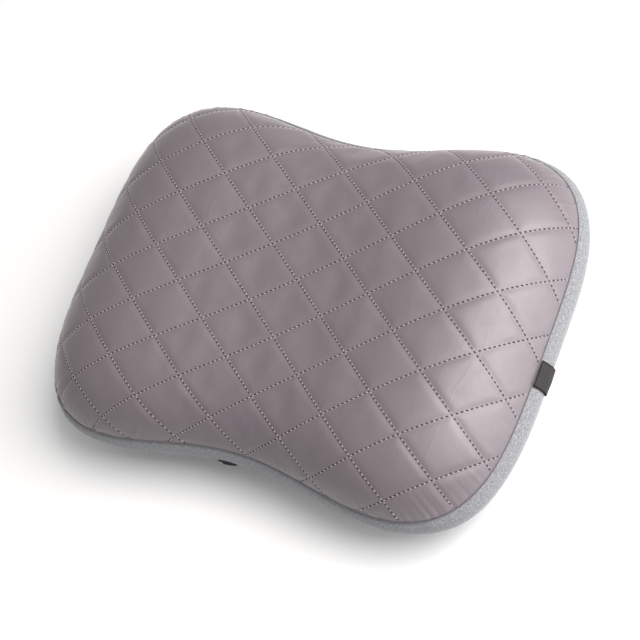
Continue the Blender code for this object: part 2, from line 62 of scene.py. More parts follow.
def start_material(name, colour, roughness, **sockets):
    """Material with a Principled shader, its constant values set on the shader's own sockets."""
    material = bpy.data.materials.new(name)
    material.use_nodes = True
    tree = material.node_tree
    shader = tree.nodes["Principled BSDF"]
    shader.inputs["Base Color"].default_value = (*colour, 1)
    shader.inputs["Roughness"].default_value = roughness
    for socket, value in sockets.items():
        shader.inputs[socket.replace("_", " ")].default_value = value
    return material, tree, shader


def add(tree, kind, inputs=(), **settings):
    """Node of a kind, with its settings, and its inputs given as numbers or as another node's output."""
    made = tree.nodes.new(kind)
    for name, value in settings.items():
        setattr(made, name, value)
    for key, value in dict(inputs).items():
        if isinstance(value, bpy.types.NodeSocket):
            tree.links.new(value, made.inputs[key])
        else:
            made.inputs[key].default_value = value
    return made


def maths(tree, operation, first, second=0.0, third=0.0):
    inputs = {0: first, 1: second, 2: third}
    if operation not in ("MULTIPLY_ADD", "SMOOTH_MIN", "WRAP"):
        inputs.pop(2)
    return add(tree, "ShaderNodeMath", inputs, operation=operation).outputs[0]


def start_group(name, inputs, outputs):
    """Shader group with named number or vector inputs and named outputs."""
    tree = bpy.data.node_groups.new(name, "ShaderNodeTree")
    for socket, kind, value in inputs:
        made = tree.interface.new_socket(socket, in_out="INPUT", socket_type=kind)
        if value is not None:
            made.default_value = value
    for socket, kind in outputs:
        tree.interface.new_socket(socket, in_out="OUTPUT", socket_type=kind)
    return tree, tree.nodes.new("NodeGroupInput").outputs, tree.nodes.new("NodeGroupOutput").inputs


def use_group(tree, group, inputs):
    return add(tree, "ShaderNodeGroup", inputs, node_tree=group).outputs


def colour_between(tree, share, low, high):
    mix = add(tree, "ShaderNodeMix", {0: share}, data_type="RGBA")
    for index, value in ((6, low), (7, high)):
        if isinstance(value, bpy.types.NodeSocket):
            tree.links.new(value, mix.inputs[index])
        else:
            mix.inputs[index].default_value = (*value, 1)
    return mix.outputs[2]


def vary_colour(tree, shader, share, low, high):
    """Base colour that runs from one colour to another with a share from 0 to 1."""
    tree.links.new(colour_between(tree, share, low, high), shader.inputs["Base Color"])


def bump(tree, shader, height, distance, strength=1.0, under=None):
    """Bump node of a height in metres per unit, that feeds the shader's normal."""
    made = add(tree, "ShaderNodeBump", {"Height": height, "Distance": distance, "Strength": strength})
    if under is not None:
        tree.links.new(under, made.inputs["Normal"])
    tree.links.new(made.outputs["Normal"], shader.inputs["Normal"])
    return made.outputs["Normal"]


def noise_of(tree, vector, scale, detail=2.0, roughness=0.5):
    inputs = {"Vector": vector, "Scale": scale, "Detail": detail, "Roughness": roughness}
    return add(tree, "ShaderNodeTexNoise", inputs).outputs["Fac"]


def stretched(tree, vector, scale, turn=0.0):
    """Coordinates turned about Z and stretched, so that a pattern on them runs one way."""
    inputs = {"Vector": vector, "Rotation": (0, 0, turn), "Scale": scale}
    return add(tree, "ShaderNodeMapping", inputs).outputs[0]


weave_group, weave_in, weave_out = start_group(
    "plain weave",
    [("Vector", "NodeSocketVector", None), ("Threads per metre", "NodeSocketFloat", 3000.0)],
    [("Height", "NodeSocketFloat"), ("Slub", "NodeSocketFloat")])
weave_at = add(weave_group, "ShaderNodeSeparateXYZ", {0: weave_in["Vector"]}).outputs
weave_turn = maths(weave_group, "MULTIPLY", weave_in["Threads per metre"], math.pi)
warp, weft = (maths(weave_group, "SINE", maths(weave_group, "MULTIPLY", at, weave_turn))
              for at in weave_at[:2])
over_under = maths(weave_group, "MULTIPLY", warp, weft)
weave_group.links.new(maths(weave_group, "MULTIPLY_ADD", over_under, 0.5, 0.5), weave_out["Height"])
slub_threads = stretched(weave_group, weave_in["Vector"], (1.0, 0.12, 1.0))
weave_group.links.new(noise_of(weave_group, slub_threads, 900.0, 3.0, 0.6), weave_out["Slub"])

wear_group, wear_in, wear_out = start_group(
    "handling wear",
    [("Vector", "NodeSocketVector", None), ("Scale", "NodeSocketFloat", 400.0)],
    [("Scuff", "NodeSocketFloat"), ("Grain", "NodeSocketFloat")])
wear_group.links.new(noise_of(wear_group, wear_in["Vector"], wear_in["Scale"], 6.0, 0.65), wear_out["Scuff"])
wear_fine = stretched(wear_group, wear_in["Vector"], (7.0, 7.0, 7.0))
wear_group.links.new(noise_of(wear_group, wear_fine, wear_in["Scale"], 2.0), wear_out["Grain"])


def object_point(tree):
    return add(tree, "ShaderNodeTexCoord").outputs["Object"]


def film_material():
    """Coated bladder film: dark grey, smooth, faintly woven, a little cloudy."""
    material, tree, shader = start_material("bladder film", (0.13, 0.135, 0.14), 0.42, Coat_Weight=0.15)
    weave = use_group(tree, weave_group, {"Vector": object_point(tree), "Threads per metre": 2200.0})
    cloud = noise_of(tree, object_point(tree), 35.0, 4.0)
    vary_colour(tree, shader, cloud, (0.105, 0.108, 0.115), (0.155, 0.16, 0.168))
    bump(tree, shader, weave["Height"], 0.00004)
    return material


def plain_cloth(name, dark, light, threads):
    """Plain woven cloth, matt, its colour uneven from thread to thread."""
    material, tree, shader = start_material(name, light, 0.85, Sheen_Weight=0.25, Sheen_Roughness=0.5)
    weave = use_group(tree, weave_group, {"Vector": object_point(tree), "Threads per metre": threads})
    vary_colour(tree, shader, weave["Slub"], dark, light)
    bump(tree, shader, weave["Height"], 0.0001)
    return material


def paint(item, material):
    item.data.materials.clear()
    item.data.materials.append(material)


film = film_material()
binding_cloth = plain_cloth("binding tape", (0.13, 0.125, 0.13), (0.24, 0.23, 0.24), 1400.0)
for name in ("bladder_top_skin", "bladder_bottom_skin", "baffle_left", "baffle_middle", "baffle_right"):
    paint(nodes[name], film)
for name in ("seam_binding", "valve_eyelet"):
    paint(nodes[name], binding_cloth)

# --- The blown-up form ---
# Air gives the cover its shape: a waisted outline with two lobes, a saddle across the middle of the top, and
# an underside that the floor presses flat. Every fabric piece below is laid on this form.
back_low, back_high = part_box("back_panel_front")
HALF_LENGTH = (back_high.x - back_low.x) / 2
HALF_WIDTH = 0.175           # before the corners round it off
WAIST_SHARE = 0.1971
WAIST_REACH = 0.132
OUTLINE_POWER = 3.88
GIRTH = 0.0484
CROWN = 0.0595
SADDLE = 0.018
SADDLE_REACH = 0.128
TOP_FULLNESS = 5.84
TOP_ROUNDNESS = 1.30
BOTTOM_FULLNESS = 4.06
SETTLE = 0.0035
SEAM_HEIGHT = 0.0106
HALVINGS = 40                # of the span in which a distance is searched


def girth_radius(angle):
    """Distance from the middle to the girth, in each direction."""
    low = np.zeros_like(angle)
    high = np.full_like(angle, 2 * HALF_LENGTH)
    cos, sin = np.abs(np.cos(angle)), np.abs(np.sin(angle))
    for _ in range(HALVINGS):
        middle = (low + high) / 2
        x, y = middle * cos, middle * sin
        room = np.clip(1 - (x / HALF_LENGTH) ** OUTLINE_POWER, 0, None)
        width = HALF_WIDTH * room ** (1 / OUTLINE_POWER) * (1 - WAIST_SHARE * np.exp(-(x / WAIST_REACH) ** 2))
        inside = (y < width) & (room > 0)
        low = np.where(inside, middle, low)
        high = np.where(inside, high, middle)
    return (low + high) / 2


def top_form(angle, reach):
    """Points of the top, reach 0 at the middle and 1 at the girth."""
    radius = girth_radius(angle) * reach
    x, y = radius * np.cos(angle), radius * np.sin(angle)
    crown = CROWN - SADDLE * np.exp(-(x / SADDLE_REACH) ** 2)
    rise = crown * np.clip(1 - reach ** TOP_FULLNESS, 0, None) ** (1 / TOP_ROUNDNESS)
    return np.stack([x, y, GIRTH + rise], -1)


def under_form(angle, reach):
    """Points of the underside, flat where the floor presses it."""
    radius = girth_radius(angle) * reach
    drop = (GIRTH + SETTLE) * np.clip(1 - reach ** BOTTOM_FULLNESS, 0, None) ** 0.5
    return np.stack([radius * np.cos(angle), radius * np.sin(angle), np.maximum(GIRTH - drop, 0)], -1)


def seam_reach(angle):
    """Reach at which the top has come down to the seam."""
    low, high = np.full_like(angle, 0.5), np.ones_like(angle)
    for _ in range(HALVINGS):
        middle = (low + high) / 2
        above = top_form(angle, middle)[:, 2] > GIRTH + SEAM_HEIGHT
        low = np.where(above, middle, low)
        high = np.where(above, high, middle)
    return (low + high) / 2


def show(name, data):
    """New object in the scene, of a mesh, curve, lamp or camera."""
    item = bpy.data.objects.new(name, data)
    bpy.context.scene.collection.objects.link(item)
    return item


def new_mesh(name, points, faces):
    data = bpy.data.meshes.new(name)
    data.from_pydata([tuple(point) for point in points], [], [tuple(face) for face in faces])
    data.update()
    return show(name, data)


def corners_of(item, what="co"):
    values = np.zeros(len(item.data.vertices) * 3, np.float32)
    item.data.vertices.foreach_get(what, values)
    return values.reshape(-1, 3).astype(float)


def place_corners(item, points):
    item.data.vertices.foreach_set("co", points.astype(np.float32).ravel())
    item.data.update()


def corner_of_loops(item):
    index = np.zeros(len(item.data.loops), np.int32)
    item.data.loops.foreach_get("vertex_index", index)
    return index


def set_cloth_map(item, flat):
    """UV map of the flat cloth, in metres, from one flat point for each corner of the mesh."""
    layer = item.data.uv_layers.new(name="cloth")
    layer.data.foreach_set("uv", flat[corner_of_loops(item)].astype(np.float32).ravel())


def cloth_of(item):
    """Flat cloth point of each corner of the mesh."""
    uv = np.zeros(len(item.data.loops) * 2, np.float32)
    item.data.uv_layers["cloth"].data.foreach_get("uv", uv)
    flat = np.zeros((len(item.data.vertices), 2))
    flat[corner_of_loops(item)] = uv.reshape(-1, 2)
    return flat


def baked(item):
    """The piece with its modifiers applied, as a plain mesh."""
    view_layer = bpy.context.evaluated_depsgraph_get()
    data = bpy.data.meshes.new_from_object(item.evaluated_get(view_layer))
    item.modifiers.clear()
    item.data = data
    return item


def smooth(item):
    item.data.polygons.foreach_set("use_smooth", [True] * len(item.data.polygons))
    item.data.update()


def with_nodes(name, data, group, inputs):
    """Object that a geometry group makes from a mesh, turned into a plain mesh."""
    item = show(name, data)
    step = item.modifiers.new("Nodes", "NODES")
    step.node_group = group
    for socket in group.interface.items_tree:
        if socket.in_out == "INPUT" and socket.name in inputs:
            step[socket.identifier] = inputs[socket.name]
    return baked(item)


def stand_in(piece, material, body, slot, *replaced):
    """Paint a finished piece, and let it stand for CAD nodes on their body."""
    paint(piece, material)
    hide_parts(*replaced)
    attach(piece, body)


# --- Quilted top ---
# Satin taffeta stitched in diamonds through wadding to a thin lining. The stitch lines hold the face down on
# the form, and the fabric between them puffs up. One closed pad stands for the three layers.
DIAMOND_LENGTH = 0.0663
DIAMOND_WIDTH = 0.0490
LATTICE_X = -0.1564
LATTICE_Y = 0.0764
STEPS = 16                   # mesh steps along each side of a diamond
QUILT_DEPTH = 0.0062
SEAM_TUCK = 0.0012           # how far the seam draws the edge in
TUCK_REACH = 0.0030
STITCH_TUCK = 0.0006         # how far a stitch line draws the face in
STITCH_REACH = 0.0030
PUCKER_HEIGHT = 0.0024
PUCKER_REACH = 0.011
PUCKER_START = 0.004         # the gathers are at their highest this far from the seam
PUCKERS_PER_METRE = (190, 380)
PUCKER_SHARES = (1.0, 0.6)
PUCKER_LEAST = 0.15          # of the full gathers, along the straight stretches of the seam
CORNER_AT = 0.66             # sine of the direction in which the corners lie
CORNER_SPREAD = 0.16
LINES = (-12, 18)            # first and last of the stitch lines each way
ARC_ANGLES = 720
ARC_STEPS = 240
PUFF_FRAMES = 20
PUFF_CAP = 0.0045
PUFF_CLOTH = {"quality": 5, "mass": 0.12, "tension_stiffness": 25, "compression_stiffness": 20,
              "shear_stiffness": 10, "bending_stiffness": 3, "tension_damping": 15, "compression_damping": 15,
              "shear_damping": 15, "air_damping": 4, "vertex_group_mass": "stitched", "use_pressure": True,
              "uniform_pressure_force": 2.6, "shrink_min": -0.0045}
EASING_STEPS = 14
CLOSING_RINGS = 5
CLOSING_REACH = 0.985        # of the seam's own reach, where the lining starts
TRIM = 0.45                  # of a mesh step, nearer to the seam than this is trimmed to it

table_angle = np.linspace(-math.pi, math.pi, ARC_ANGLES + 1)
table_reach = np.sin(np.linspace(0, math.pi / 2, ARC_STEPS))
table_form = np.stack([top_form(table_angle, np.full_like(table_angle, reach)) for reach in table_reach], 1)
table_arc = np.zeros(table_form.shape[:2])
table_arc[:, 1:] = np.cumsum(np.linalg.norm(np.diff(table_form, axis=1), axis=-1), axis=1)
seam_at = seam_reach(table_angle)
seam_arc = np.array([np.interp(reach, table_reach, arc) for reach, arc in zip(seam_at, table_arc)])
seam_points = top_form(table_angle, seam_at)
seam_run = np.insert(np.cumsum(np.linalg.norm(np.diff(seam_points, axis=0), axis=1)), 0, 0)


def lay_on_form(cloth):
    """Where points of the flat cloth come to lie when it is smoothed over the form from its middle."""
    angle = np.arctan2(cloth[:, 1], cloth[:, 0])
    arc = np.hypot(cloth[:, 0], cloth[:, 1])
    place = (angle + math.pi) / (2 * math.pi) * ARC_ANGLES
    row = np.clip(place.astype(int), 0, ARC_ANGLES - 1)
    share = (place - row)[:, None]
    profile = table_arc[row] * (1 - share) + table_arc[row + 1] * share
    step = np.clip((profile < arc[:, None]).sum(1), 1, ARC_STEPS - 1)
    index = np.arange(len(arc))
    before, after = profile[index, step - 1], profile[index, step]
    part = np.clip((arc - before) / (after - before), 0, 1)
    reach = table_reach[step - 1] * (1 - part) + table_reach[step] * part
    return top_form(angle, reach)


def edge_distance(cloth):
    """How far each point of the cloth is from the seam, along the cloth."""
    edge = np.interp(np.arctan2(cloth[..., 1], cloth[..., 0]), table_angle, seam_arc)
    return edge - np.hypot(cloth[..., 0], cloth[..., 1])


def seam_puckers(angle):
    """Small gathers along the seam, from -1 to 1, strongest where it turns the corners."""
    run = np.interp(angle, table_angle, seam_run)
    corner = np.exp(-((np.abs(np.sin(angle)) - CORNER_AT) / CORNER_SPREAD) ** 2)
    broad = [noise.noise(Vector((place * PUCKERS_PER_METRE[0], 0, 3))) for place in run]
    fine = [noise.noise(Vector((place * PUCKERS_PER_METRE[1], 5, 0))) for place in run]
    wave = PUCKER_SHARES[0] * np.array(broad) + PUCKER_SHARES[1] * np.array(fine)
    return wave * (PUCKER_LEAST + (1 - PUCKER_LEAST) * corner)


def quilt_grid():
    """Grid along the stitch lines, trimmed to the seam.

    Gives cloth points, their places on the lines, which of them lie off the seam, and the faces.
    """
    reach = np.arange(LINES[0] * STEPS, LINES[1] * STEPS + 1)
    across, along = np.meshgrid(reach, reach, indexing="ij")
    x = LATTICE_X + (across + along) / STEPS * DIAMOND_LENGTH / 2
    y = LATTICE_Y + (across - along) / STEPS * DIAMOND_WIDTH / 2
    cloth = np.stack([x, y], -1)
    inside = edge_distance(cloth) > TRIM * DIAMOND_WIDTH / 2 / STEPS
    arc = np.hypot(x, y)
    scale = np.where(inside, 1, (arc + edge_distance(cloth)) / np.maximum(arc, 1e-6))
    cloth = cloth * scale[..., None]
    corners = [(0, 0), (1, 0), (1, 1), (0, 1)]
    size = len(reach)
    keep = np.zeros((size - 1, size - 1), bool)
    used = np.zeros((size, size), bool)
    for i, j in corners:
        keep |= inside[i:size - 1 + i, j:size - 1 + j]
    for i, j in corners:
        used[i:size - 1 + i, j:size - 1 + j] |= keep
    number = -np.ones((size, size), int)
    number[used] = np.arange(used.sum())
    a, b = np.nonzero(keep)
    quads = np.stack([number[a + i, b + j] for i, j in corners], 1)[:, ::-1]
    return cloth[used], np.stack([across[used], along[used]], 1), inside[used], quads


def puff_up(item, held):
    """Blow the fabric up between its stitches, ease its creases, and keep what it settles to."""
    group = item.vertex_groups.new(name="stitched")
    group.add([int(corner) for corner in np.nonzero(held)[0]], 1.0, "REPLACE")
    start = corners_of(item)
    puff = item.modifiers.new("Puff", "CLOTH")
    for name, value in PUFF_CLOTH.items():
        setattr(puff.settings, name, value)
    puff.settings.effector_weights.gravity = 0
    ease = item.modifiers.new("Ease", "SMOOTH")
    ease.factor = 0.5
    ease.iterations = EASING_STEPS
    ease.vertex_group = "stitched"
    ease.invert_vertex_group = True
    puff.point_cache.frame_start = 1
    puff.point_cache.frame_end = PUFF_FRAMES
    for frame_number in range(1, PUFF_FRAMES + 1):
        bpy.context.scene.frame_set(frame_number)
    baked(item)
    bpy.context.scene.frame_set(1)
    moved = corners_of(item) - start
    length = np.linalg.norm(moved, axis=1, keepdims=True)
    place_corners(item, start + moved * np.minimum(1, PUFF_CAP / np.maximum(length, 1e-9)))


cloth, lines, loose, quads = quilt_grid()
rest = lay_on_form(cloth)
pad = new_mesh("quilted_top", rest, quads)
set_cloth_map(pad, cloth)
normals = corners_of(pad, "normal")
if normals[:, 2].mean() < 0:
    pad.data.flip_normals()
    normals = -normals
edge = edge_distance(cloth)
on_line = ((lines % STEPS) == 0).any(1) | ~loose
place_corners(pad, rest - normals * (SEAM_TUCK * np.exp(-(edge / TUCK_REACH) ** 2))[:, None])
puff_up(pad, on_line)
refine = pad.modifiers.new("Refine", "SUBSURF")
refine.levels = 1
refine.render_levels = 1
baked(pad)

# Each line of stitches draws the face in a little, and the seam gathers it.
flat = cloth_of(pad)
column = (flat[:, 0] - LATTICE_X) / DIAMOND_LENGTH
row = (flat[:, 1] - LATTICE_Y) / DIAMOND_WIDTH
line_spacing = DIAMOND_LENGTH * DIAMOND_WIDTH / math.hypot(DIAMOND_LENGTH, DIAMOND_WIDTH)
off_line = line_spacing * np.minimum(*[np.abs(place - np.round(place))
                                       for place in (column + row, column - row)])
edge = edge_distance(flat)
tuck = STITCH_TUCK * np.exp(-(off_line / STITCH_REACH) ** 2) * np.clip(edge / TUCK_REACH, 0, 1)
gather = PUCKER_HEIGHT * seam_puckers(np.arctan2(flat[:, 1], flat[:, 0])) * np.exp(-edge / PUCKER_REACH)
lift = gather * np.clip(edge / PUCKER_START, 0, 1) - tuck
place_corners(pad, corners_of(pad) + corners_of(pad, "normal") * lift[:, None])
quilt_points = corners_of(pad)[:len(cloth)]
quilt_normals = corners_of(pad, "normal")[:len(cloth)]


def close_underneath(item):
    """Close the pad with rings of lining that run in from the seam to its middle."""
    mesh = bmesh.new()
    mesh.from_mesh(item.data)
    layer = mesh.loops.layers.uv["cloth"]
    rim = [side for side in mesh.edges if side.is_boundary]
    rim_corners = list({corner for side in rim for corner in side.verts})
    places = np.array([tuple(corner.link_loops[0][layer].uv) for corner in rim_corners])
    at = dict(zip(rim_corners, places))
    for ring in range(1, CLOSING_RINGS + 1):
        made = bmesh.ops.extrude_edge_only(mesh, edges=rim)["geom"]
        fresh = [corner for corner in made if isinstance(corner, bmesh.types.BMVert)]
        fresh_sides = [side for side in made if isinstance(side, bmesh.types.BMEdge)]
        nearest = {}
        for side in rim:
            for corner in side.verts:
                for link in corner.link_edges:
                    other = link.other_vert(corner)
                    if other not in at:
                        nearest[other] = at[corner]
        at = {corner: nearest[corner] for corner in fresh}
        share = 1 - (ring - 1) / CLOSING_RINGS
        spots = lay_on_form(np.array([at[corner] for corner in fresh]) * share * CLOSING_REACH)
        for corner, spot in zip(fresh, spots):
            corner.co = Vector(spot) - Vector((0, 0, QUILT_DEPTH))
        rim = fresh_sides
    bmesh.ops.contextual_create(mesh, geom=rim)
    bmesh.ops.recalc_face_normals(mesh, faces=mesh.faces)
    mesh.to_mesh(item.data)
    mesh.free()


def vary_roughness(tree, shader, share, spread, least):
    tree.links.new(maths(tree, "MULTIPLY_ADD", share, spread, least), shader.inputs["Roughness"])


def ranged(tree, value, low, high, at_low=0.0, at_high=1.0):
    """The value's place between two limits, as a number between two others."""
    return add(tree, "ShaderNodeMapRange", {0: value, 1: low, 2: high, 3: at_low, 4: at_high}).outputs[0]


def satin_material():
    """Mauve-grey satin taffeta: a broad soft sheen over a fine weave, with faint creases in the cloth."""
    material, tree, shader = start_material("mauve satin", (0.15, 0.125, 0.14), 0.40, Sheen_Weight=0.35,
                                            Sheen_Roughness=0.35, Specular_IOR_Level=1.0)
    shader.inputs["Sheen Tint"].default_value = (0.95, 0.88, 0.88, 1)
    flat = add(tree, "ShaderNodeUVMap", uv_map="cloth").outputs[0]
    weave = use_group(tree, weave_group, {"Vector": flat, "Threads per metre": 2600.0})
    cloud = maths(tree, "MULTIPLY", noise_of(tree, flat, 45.0, 4.0), 0.4)
    shade = maths(tree, "MULTIPLY_ADD", weave["Slub"], 0.6, cloud)
    vary_colour(tree, shader, shade, (0.113, 0.092, 0.1035), (0.156, 0.130, 0.1445))
    vary_roughness(tree, shader, noise_of(tree, flat, 160.0, 3.0), 0.10, 0.49)
    crease = noise_of(tree, stretched(tree, flat, (1.0, 0.35, 1.0), 0.6), 70.0, 3.0, 0.55)
    bend = noise_of(tree, stretched(tree, flat, (1.0, 0.22, 1.0)), 42.0, 2.0)
    off_fold = maths(tree, "ABSOLUTE", maths(tree, "SUBTRACT", bend, 0.5))
    fold = ranged(tree, off_fold, 0.0, 0.018, 1.0, 0.0)
    patch = ranged(tree, noise_of(tree, flat, 16.0, 1.0), 0.48, 0.62, 0.0, 0.35)
    creases = maths(tree, "MULTIPLY_ADD", fold, patch, crease)
    creased = bump(tree, shader, creases, 0.0008, 0.25)
    bump(tree, shader, weave["Height"], 0.00003, 0.5, creased)
    return material


close_underneath(pad)
smooth(pad)
stand_in(pad, satin_material(), "cover", "satin", "face_fabric", "quilt_wadding", "quilt_lining")

# --- Quilting stitches ---
# Pale polyester thread, lockstitched through all three layers. Each stitch is a bead of thread between two
# needle holes. The shade in each hole is painted: a small dark disc laid on the satin over it.
STITCHES = 11                # along each side of a diamond
BEAD = (0.0020, 0.00090, 0.00100)
# size of the dark disc of painted shade over each needle hole, and how far it stands off the satin
HOLE_SHADE_DISC = (0.0022, 0.00140, 0.00036)
BEAD_SIDE = 0.00035          # the thread lies a little to one side of its holes
HOLE_SHADE_RISE = 0.00003


def along_lines():
    """Middles of the stitches (kind 1) and of the needle holes (kind 0) on the quilt's stitch lines."""
    number = {tuple(place): index for index, place in enumerate(lines) if loose[index]}
    least, most = lines.min(0) // STEPS, lines.max(0) // STEPS + 1
    spots = []
    for axis in (0, 1):
        for line in range(least[axis], most[axis] + 1):
            for half in range(least[1 - axis] * 2 * STITCHES, most[1 - axis] * 2 * STITCHES):
                run = half / (2 * STITCHES) * STEPS
                before = math.floor(run)
                ends = [(line * STEPS, step)[::1 if axis == 0 else -1] for step in (before, before + 1)]
                at_crossing = half % (2 * STITCHES) == 0
                if ends[0] in number and ends[1] in number and not (axis == 1 and at_crossing):
                    spots.append((number[ends[0]], number[ends[1]], run - before, half % 2))
    first, second, share, kind = (np.array(column) for column in zip(*spots))
    share = share[:, None]
    points = quilt_points[first] * (1 - share) + quilt_points[second] * share
    ups = quilt_normals[first] * (1 - share) + quilt_normals[second] * share
    return points, ups, quilt_points[second] - quilt_points[first], kind


def mesh_of(name, mesh):
    """Smooth-shaded mesh data of a bmesh, which is freed."""
    for face in mesh.faces:
        face.smooth = True
    data = bpy.data.meshes.new(name)
    mesh.to_mesh(data)
    mesh.free()
    return data


def bead(name, size, spokes, rings, under=-0.2):
    """Small rounded bead, its length along X, cut off a little under its middle."""
    mesh = bmesh.new()
    bmesh.ops.create_uvsphere(mesh, u_segments=spokes, v_segments=rings, radius=0.5)
    bmesh.ops.bisect_plane(mesh, geom=list(mesh.verts) + list(mesh.edges) + list(mesh.faces), dist=1e-6,
                           plane_co=(0, 0, under), plane_no=(0, 0, -1), clear_outer=True)
    for corner in mesh.verts:
        corner.co = Vector(corner.co[axis] * size[axis] for axis in range(3))
    return bpy.data.objects.new(name, mesh_of(name, mesh))


def scatter_group():
    """Geometry group: a stamp on each point, turned along its run, a little uneven in size, as one mesh."""
    tree = bpy.data.node_groups.new("scatter along a run", "GeometryNodeTree")
    for name, kind in (("Geometry", "Geometry"), ("Stamp", "Object"), ("Material", "Material"),
                       ("Least size", "Float"), ("Most size", "Float")):
        tree.interface.new_socket(name, in_out="INPUT", socket_type="NodeSocket" + kind)
    tree.interface.new_socket("Geometry", in_out="OUTPUT", socket_type="NodeSocketGeometry")
    given = tree.nodes.new("NodeGroupInput").outputs
    points = add(tree, "GeometryNodeMeshToPoints", {"Mesh": given["Geometry"]}).outputs[0]
    way = add(tree, "GeometryNodeInputNamedAttribute", {"Name": "way"}, data_type="FLOAT_VECTOR").outputs[0]
    up = add(tree, "GeometryNodeInputNamedAttribute", {"Name": "up"}, data_type="FLOAT_VECTOR").outputs[0]
    stand = add(tree, "FunctionNodeAlignRotationToVector", {"Vector": up}, axis="Z").outputs[0]
    turn = add(tree, "FunctionNodeAlignRotationToVector", {"Rotation": stand, "Vector": way},
               axis="X", pivot_axis="Z").outputs[0]
    size = add(tree, "FunctionNodeRandomValue", {2: given["Least size"], 3: given["Most size"], "Seed": 7},
               data_type="FLOAT").outputs[1]
    stamp = add(tree, "GeometryNodeObjectInfo", {"Object": given["Stamp"]}).outputs["Geometry"]
    placed = add(tree, "GeometryNodeInstanceOnPoints",
                 {"Points": points, "Instance": stamp, "Rotation": turn, "Scale": size}).outputs[0]
    real = add(tree, "GeometryNodeRealizeInstances", {"Geometry": placed}).outputs[0]
    painted = add(tree, "GeometryNodeSetMaterial", {"Geometry": real, "Material": given["Material"]})
    tree.links.new(painted.outputs[0], tree.nodes.new("NodeGroupOutput").inputs[0])
    return tree


def scatter(name, stamp, points, ups, ways, material, sizes=(0.9, 1.1)):
    """One mesh of stamps set on points, each standing along its up and turned along its way."""
    data = bpy.data.meshes.new(name)
    data.from_pydata([tuple(point) for point in points], [], [])
    for attribute, values in (("up", ups), ("way", ways)):
        layer = data.attributes.new(attribute, "FLOAT_VECTOR", "POINT")
        layer.data.foreach_set("vector", np.asarray(values, np.float32).ravel())
    inputs = {"Stamp": stamp, "Material": material, "Least size": sizes[0], "Most size": sizes[1]}
    return with_nodes(name, data, scatter_along, inputs)


def thread_material(name, dark, light):
    """Twisted polyester thread: two plies that show as slanting bands, with a soft shine."""
    material, tree, shader = start_material(name, light, 0.55, Sheen_Weight=0.3, Sheen_Roughness=0.4)
    ply = add(tree, "ShaderNodeTexWave", {"Vector": stretched(tree, object_point(tree), (1, 1, 1), 0.7),
                                          "Scale": 900.0, "Distortion": 1.5}).outputs["Fac"]
    vary_colour(tree, shader, ply, dark, light)
    bump(tree, shader, ply, 0.00008, 0.6)
    return material


def hole_shade_material():
    """Painted shade over a needle hole in the satin: deep mauve, roughened by the broken threads."""
    material, tree, shader = start_material("needle holes", (0.035, 0.026, 0.032), 0.9,
                                            Specular_IOR_Level=0.1)
    frayed_shade = noise_of(tree, object_point(tree), 1500.0, 2.0)
    vary_colour(tree, shader, frayed_shade, (0.032, 0.024, 0.029), (0.085, 0.066, 0.078))
    bump(tree, shader, frayed_shade, 0.00008, 0.6)
    return material


scatter_along = scatter_group()
spot, up, way, kind = along_lines()
up /= np.linalg.norm(up, axis=1, keepdims=True)
side_way = np.cross(up, way)
side_way *= np.sign(side_way[:, :1] + 1e-9) / np.linalg.norm(side_way, axis=1, keepdims=True)
pale_thread = thread_material("quilting thread", (0.25, 0.21, 0.235), (0.42, 0.365, 0.395))
sewn, holes = kind == 1, kind == 0
threads = scatter("quilting_stitches", bead("stitch", BEAD, 8, 6), (spot + side_way * BEAD_SIDE)[sewn],
                  up[sewn], way[sewn], pale_thread)
# dark discs of painted shade over the needle holes
hole_shade_discs = scatter("needle_holes", bead("needle hole", HOLE_SHADE_DISC, 10, 6, -0.45), (spot + up * HOLE_SHADE_RISE)[holes],
               up[holes], way[holes], hole_shade_material())
for item in (threads, hole_shade_discs):
    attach(item, "cover")

# --- Back cover ---
# Heather grey polyester, one panel that wraps from the seam down the side and under. It is cut in two along
# the zip, where a hem turns up inside. The seam draws its edge in and gathers it a little.
SPOKES = 480
ROWS = 60
BACK_THICKNESS = 0.0008
ZIP_Y = sum(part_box(end)[corner].y for end in ("zip_coil_front", "zip_coil_rear") for corner in (0, 1)) / 4
WINDOW_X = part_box("zip_top_stop_front")[1].x
WINDOW_Y = 0.0050            # half the width of zip that shows
HEM_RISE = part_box("zip_tape_front")[0].z - 0.0003
HEM_ROUND = 0.0012
CUT_GAP = 0.00003            # each side of the line where the halves meet
FOLD_HEIGHT = 0.0009
HOLE_FIT = 0.0010            # between the valve's lip and the edge of its hole
HEM_TURN = ((0.29, 0.08), (0.71, 0.29), (0.92, 0.62), (1.0, 1.0), (1.0, HEM_RISE / HEM_ROUND))
SIDE_STEPS = 24
UNDER_STEPS = 220
ROW_CROWDING = 1.45          # the rows stand closer towards the seam
UNDER_HEIGHT = 0.004         # lower than this, the panel is on the underside
GATHER_REACH = 0.007
FOLDS_PER_METRE = 22
FOLD_START = 0.015           # the folds are at their highest this far from the seam
EXTRA_TUCK = 0.0002          # drawn in this much further than the satin

heather_angle = np.arange(SPOKES) * 2 * math.pi / SPOKES
side_reach = seam_reach(heather_angle)
side_rows = [top_form(heather_angle, side_reach + (1 - side_reach) * step / SIDE_STEPS)
             for step in range(SIDE_STEPS)]
under_rows = [under_form(heather_angle, np.full(SPOKES, math.sin(turn)))
              for turn in np.linspace(math.pi / 2, 0.01, UNDER_STEPS)]
profile = np.stack(side_rows + under_rows, 1)
profile_arc = np.zeros(profile.shape[:2])
profile_arc[:, 1:] = np.cumsum(np.linalg.norm(np.diff(profile, axis=1), axis=-1), axis=1)
row_share = np.linspace(0, 1, ROWS) ** ROW_CROWDING


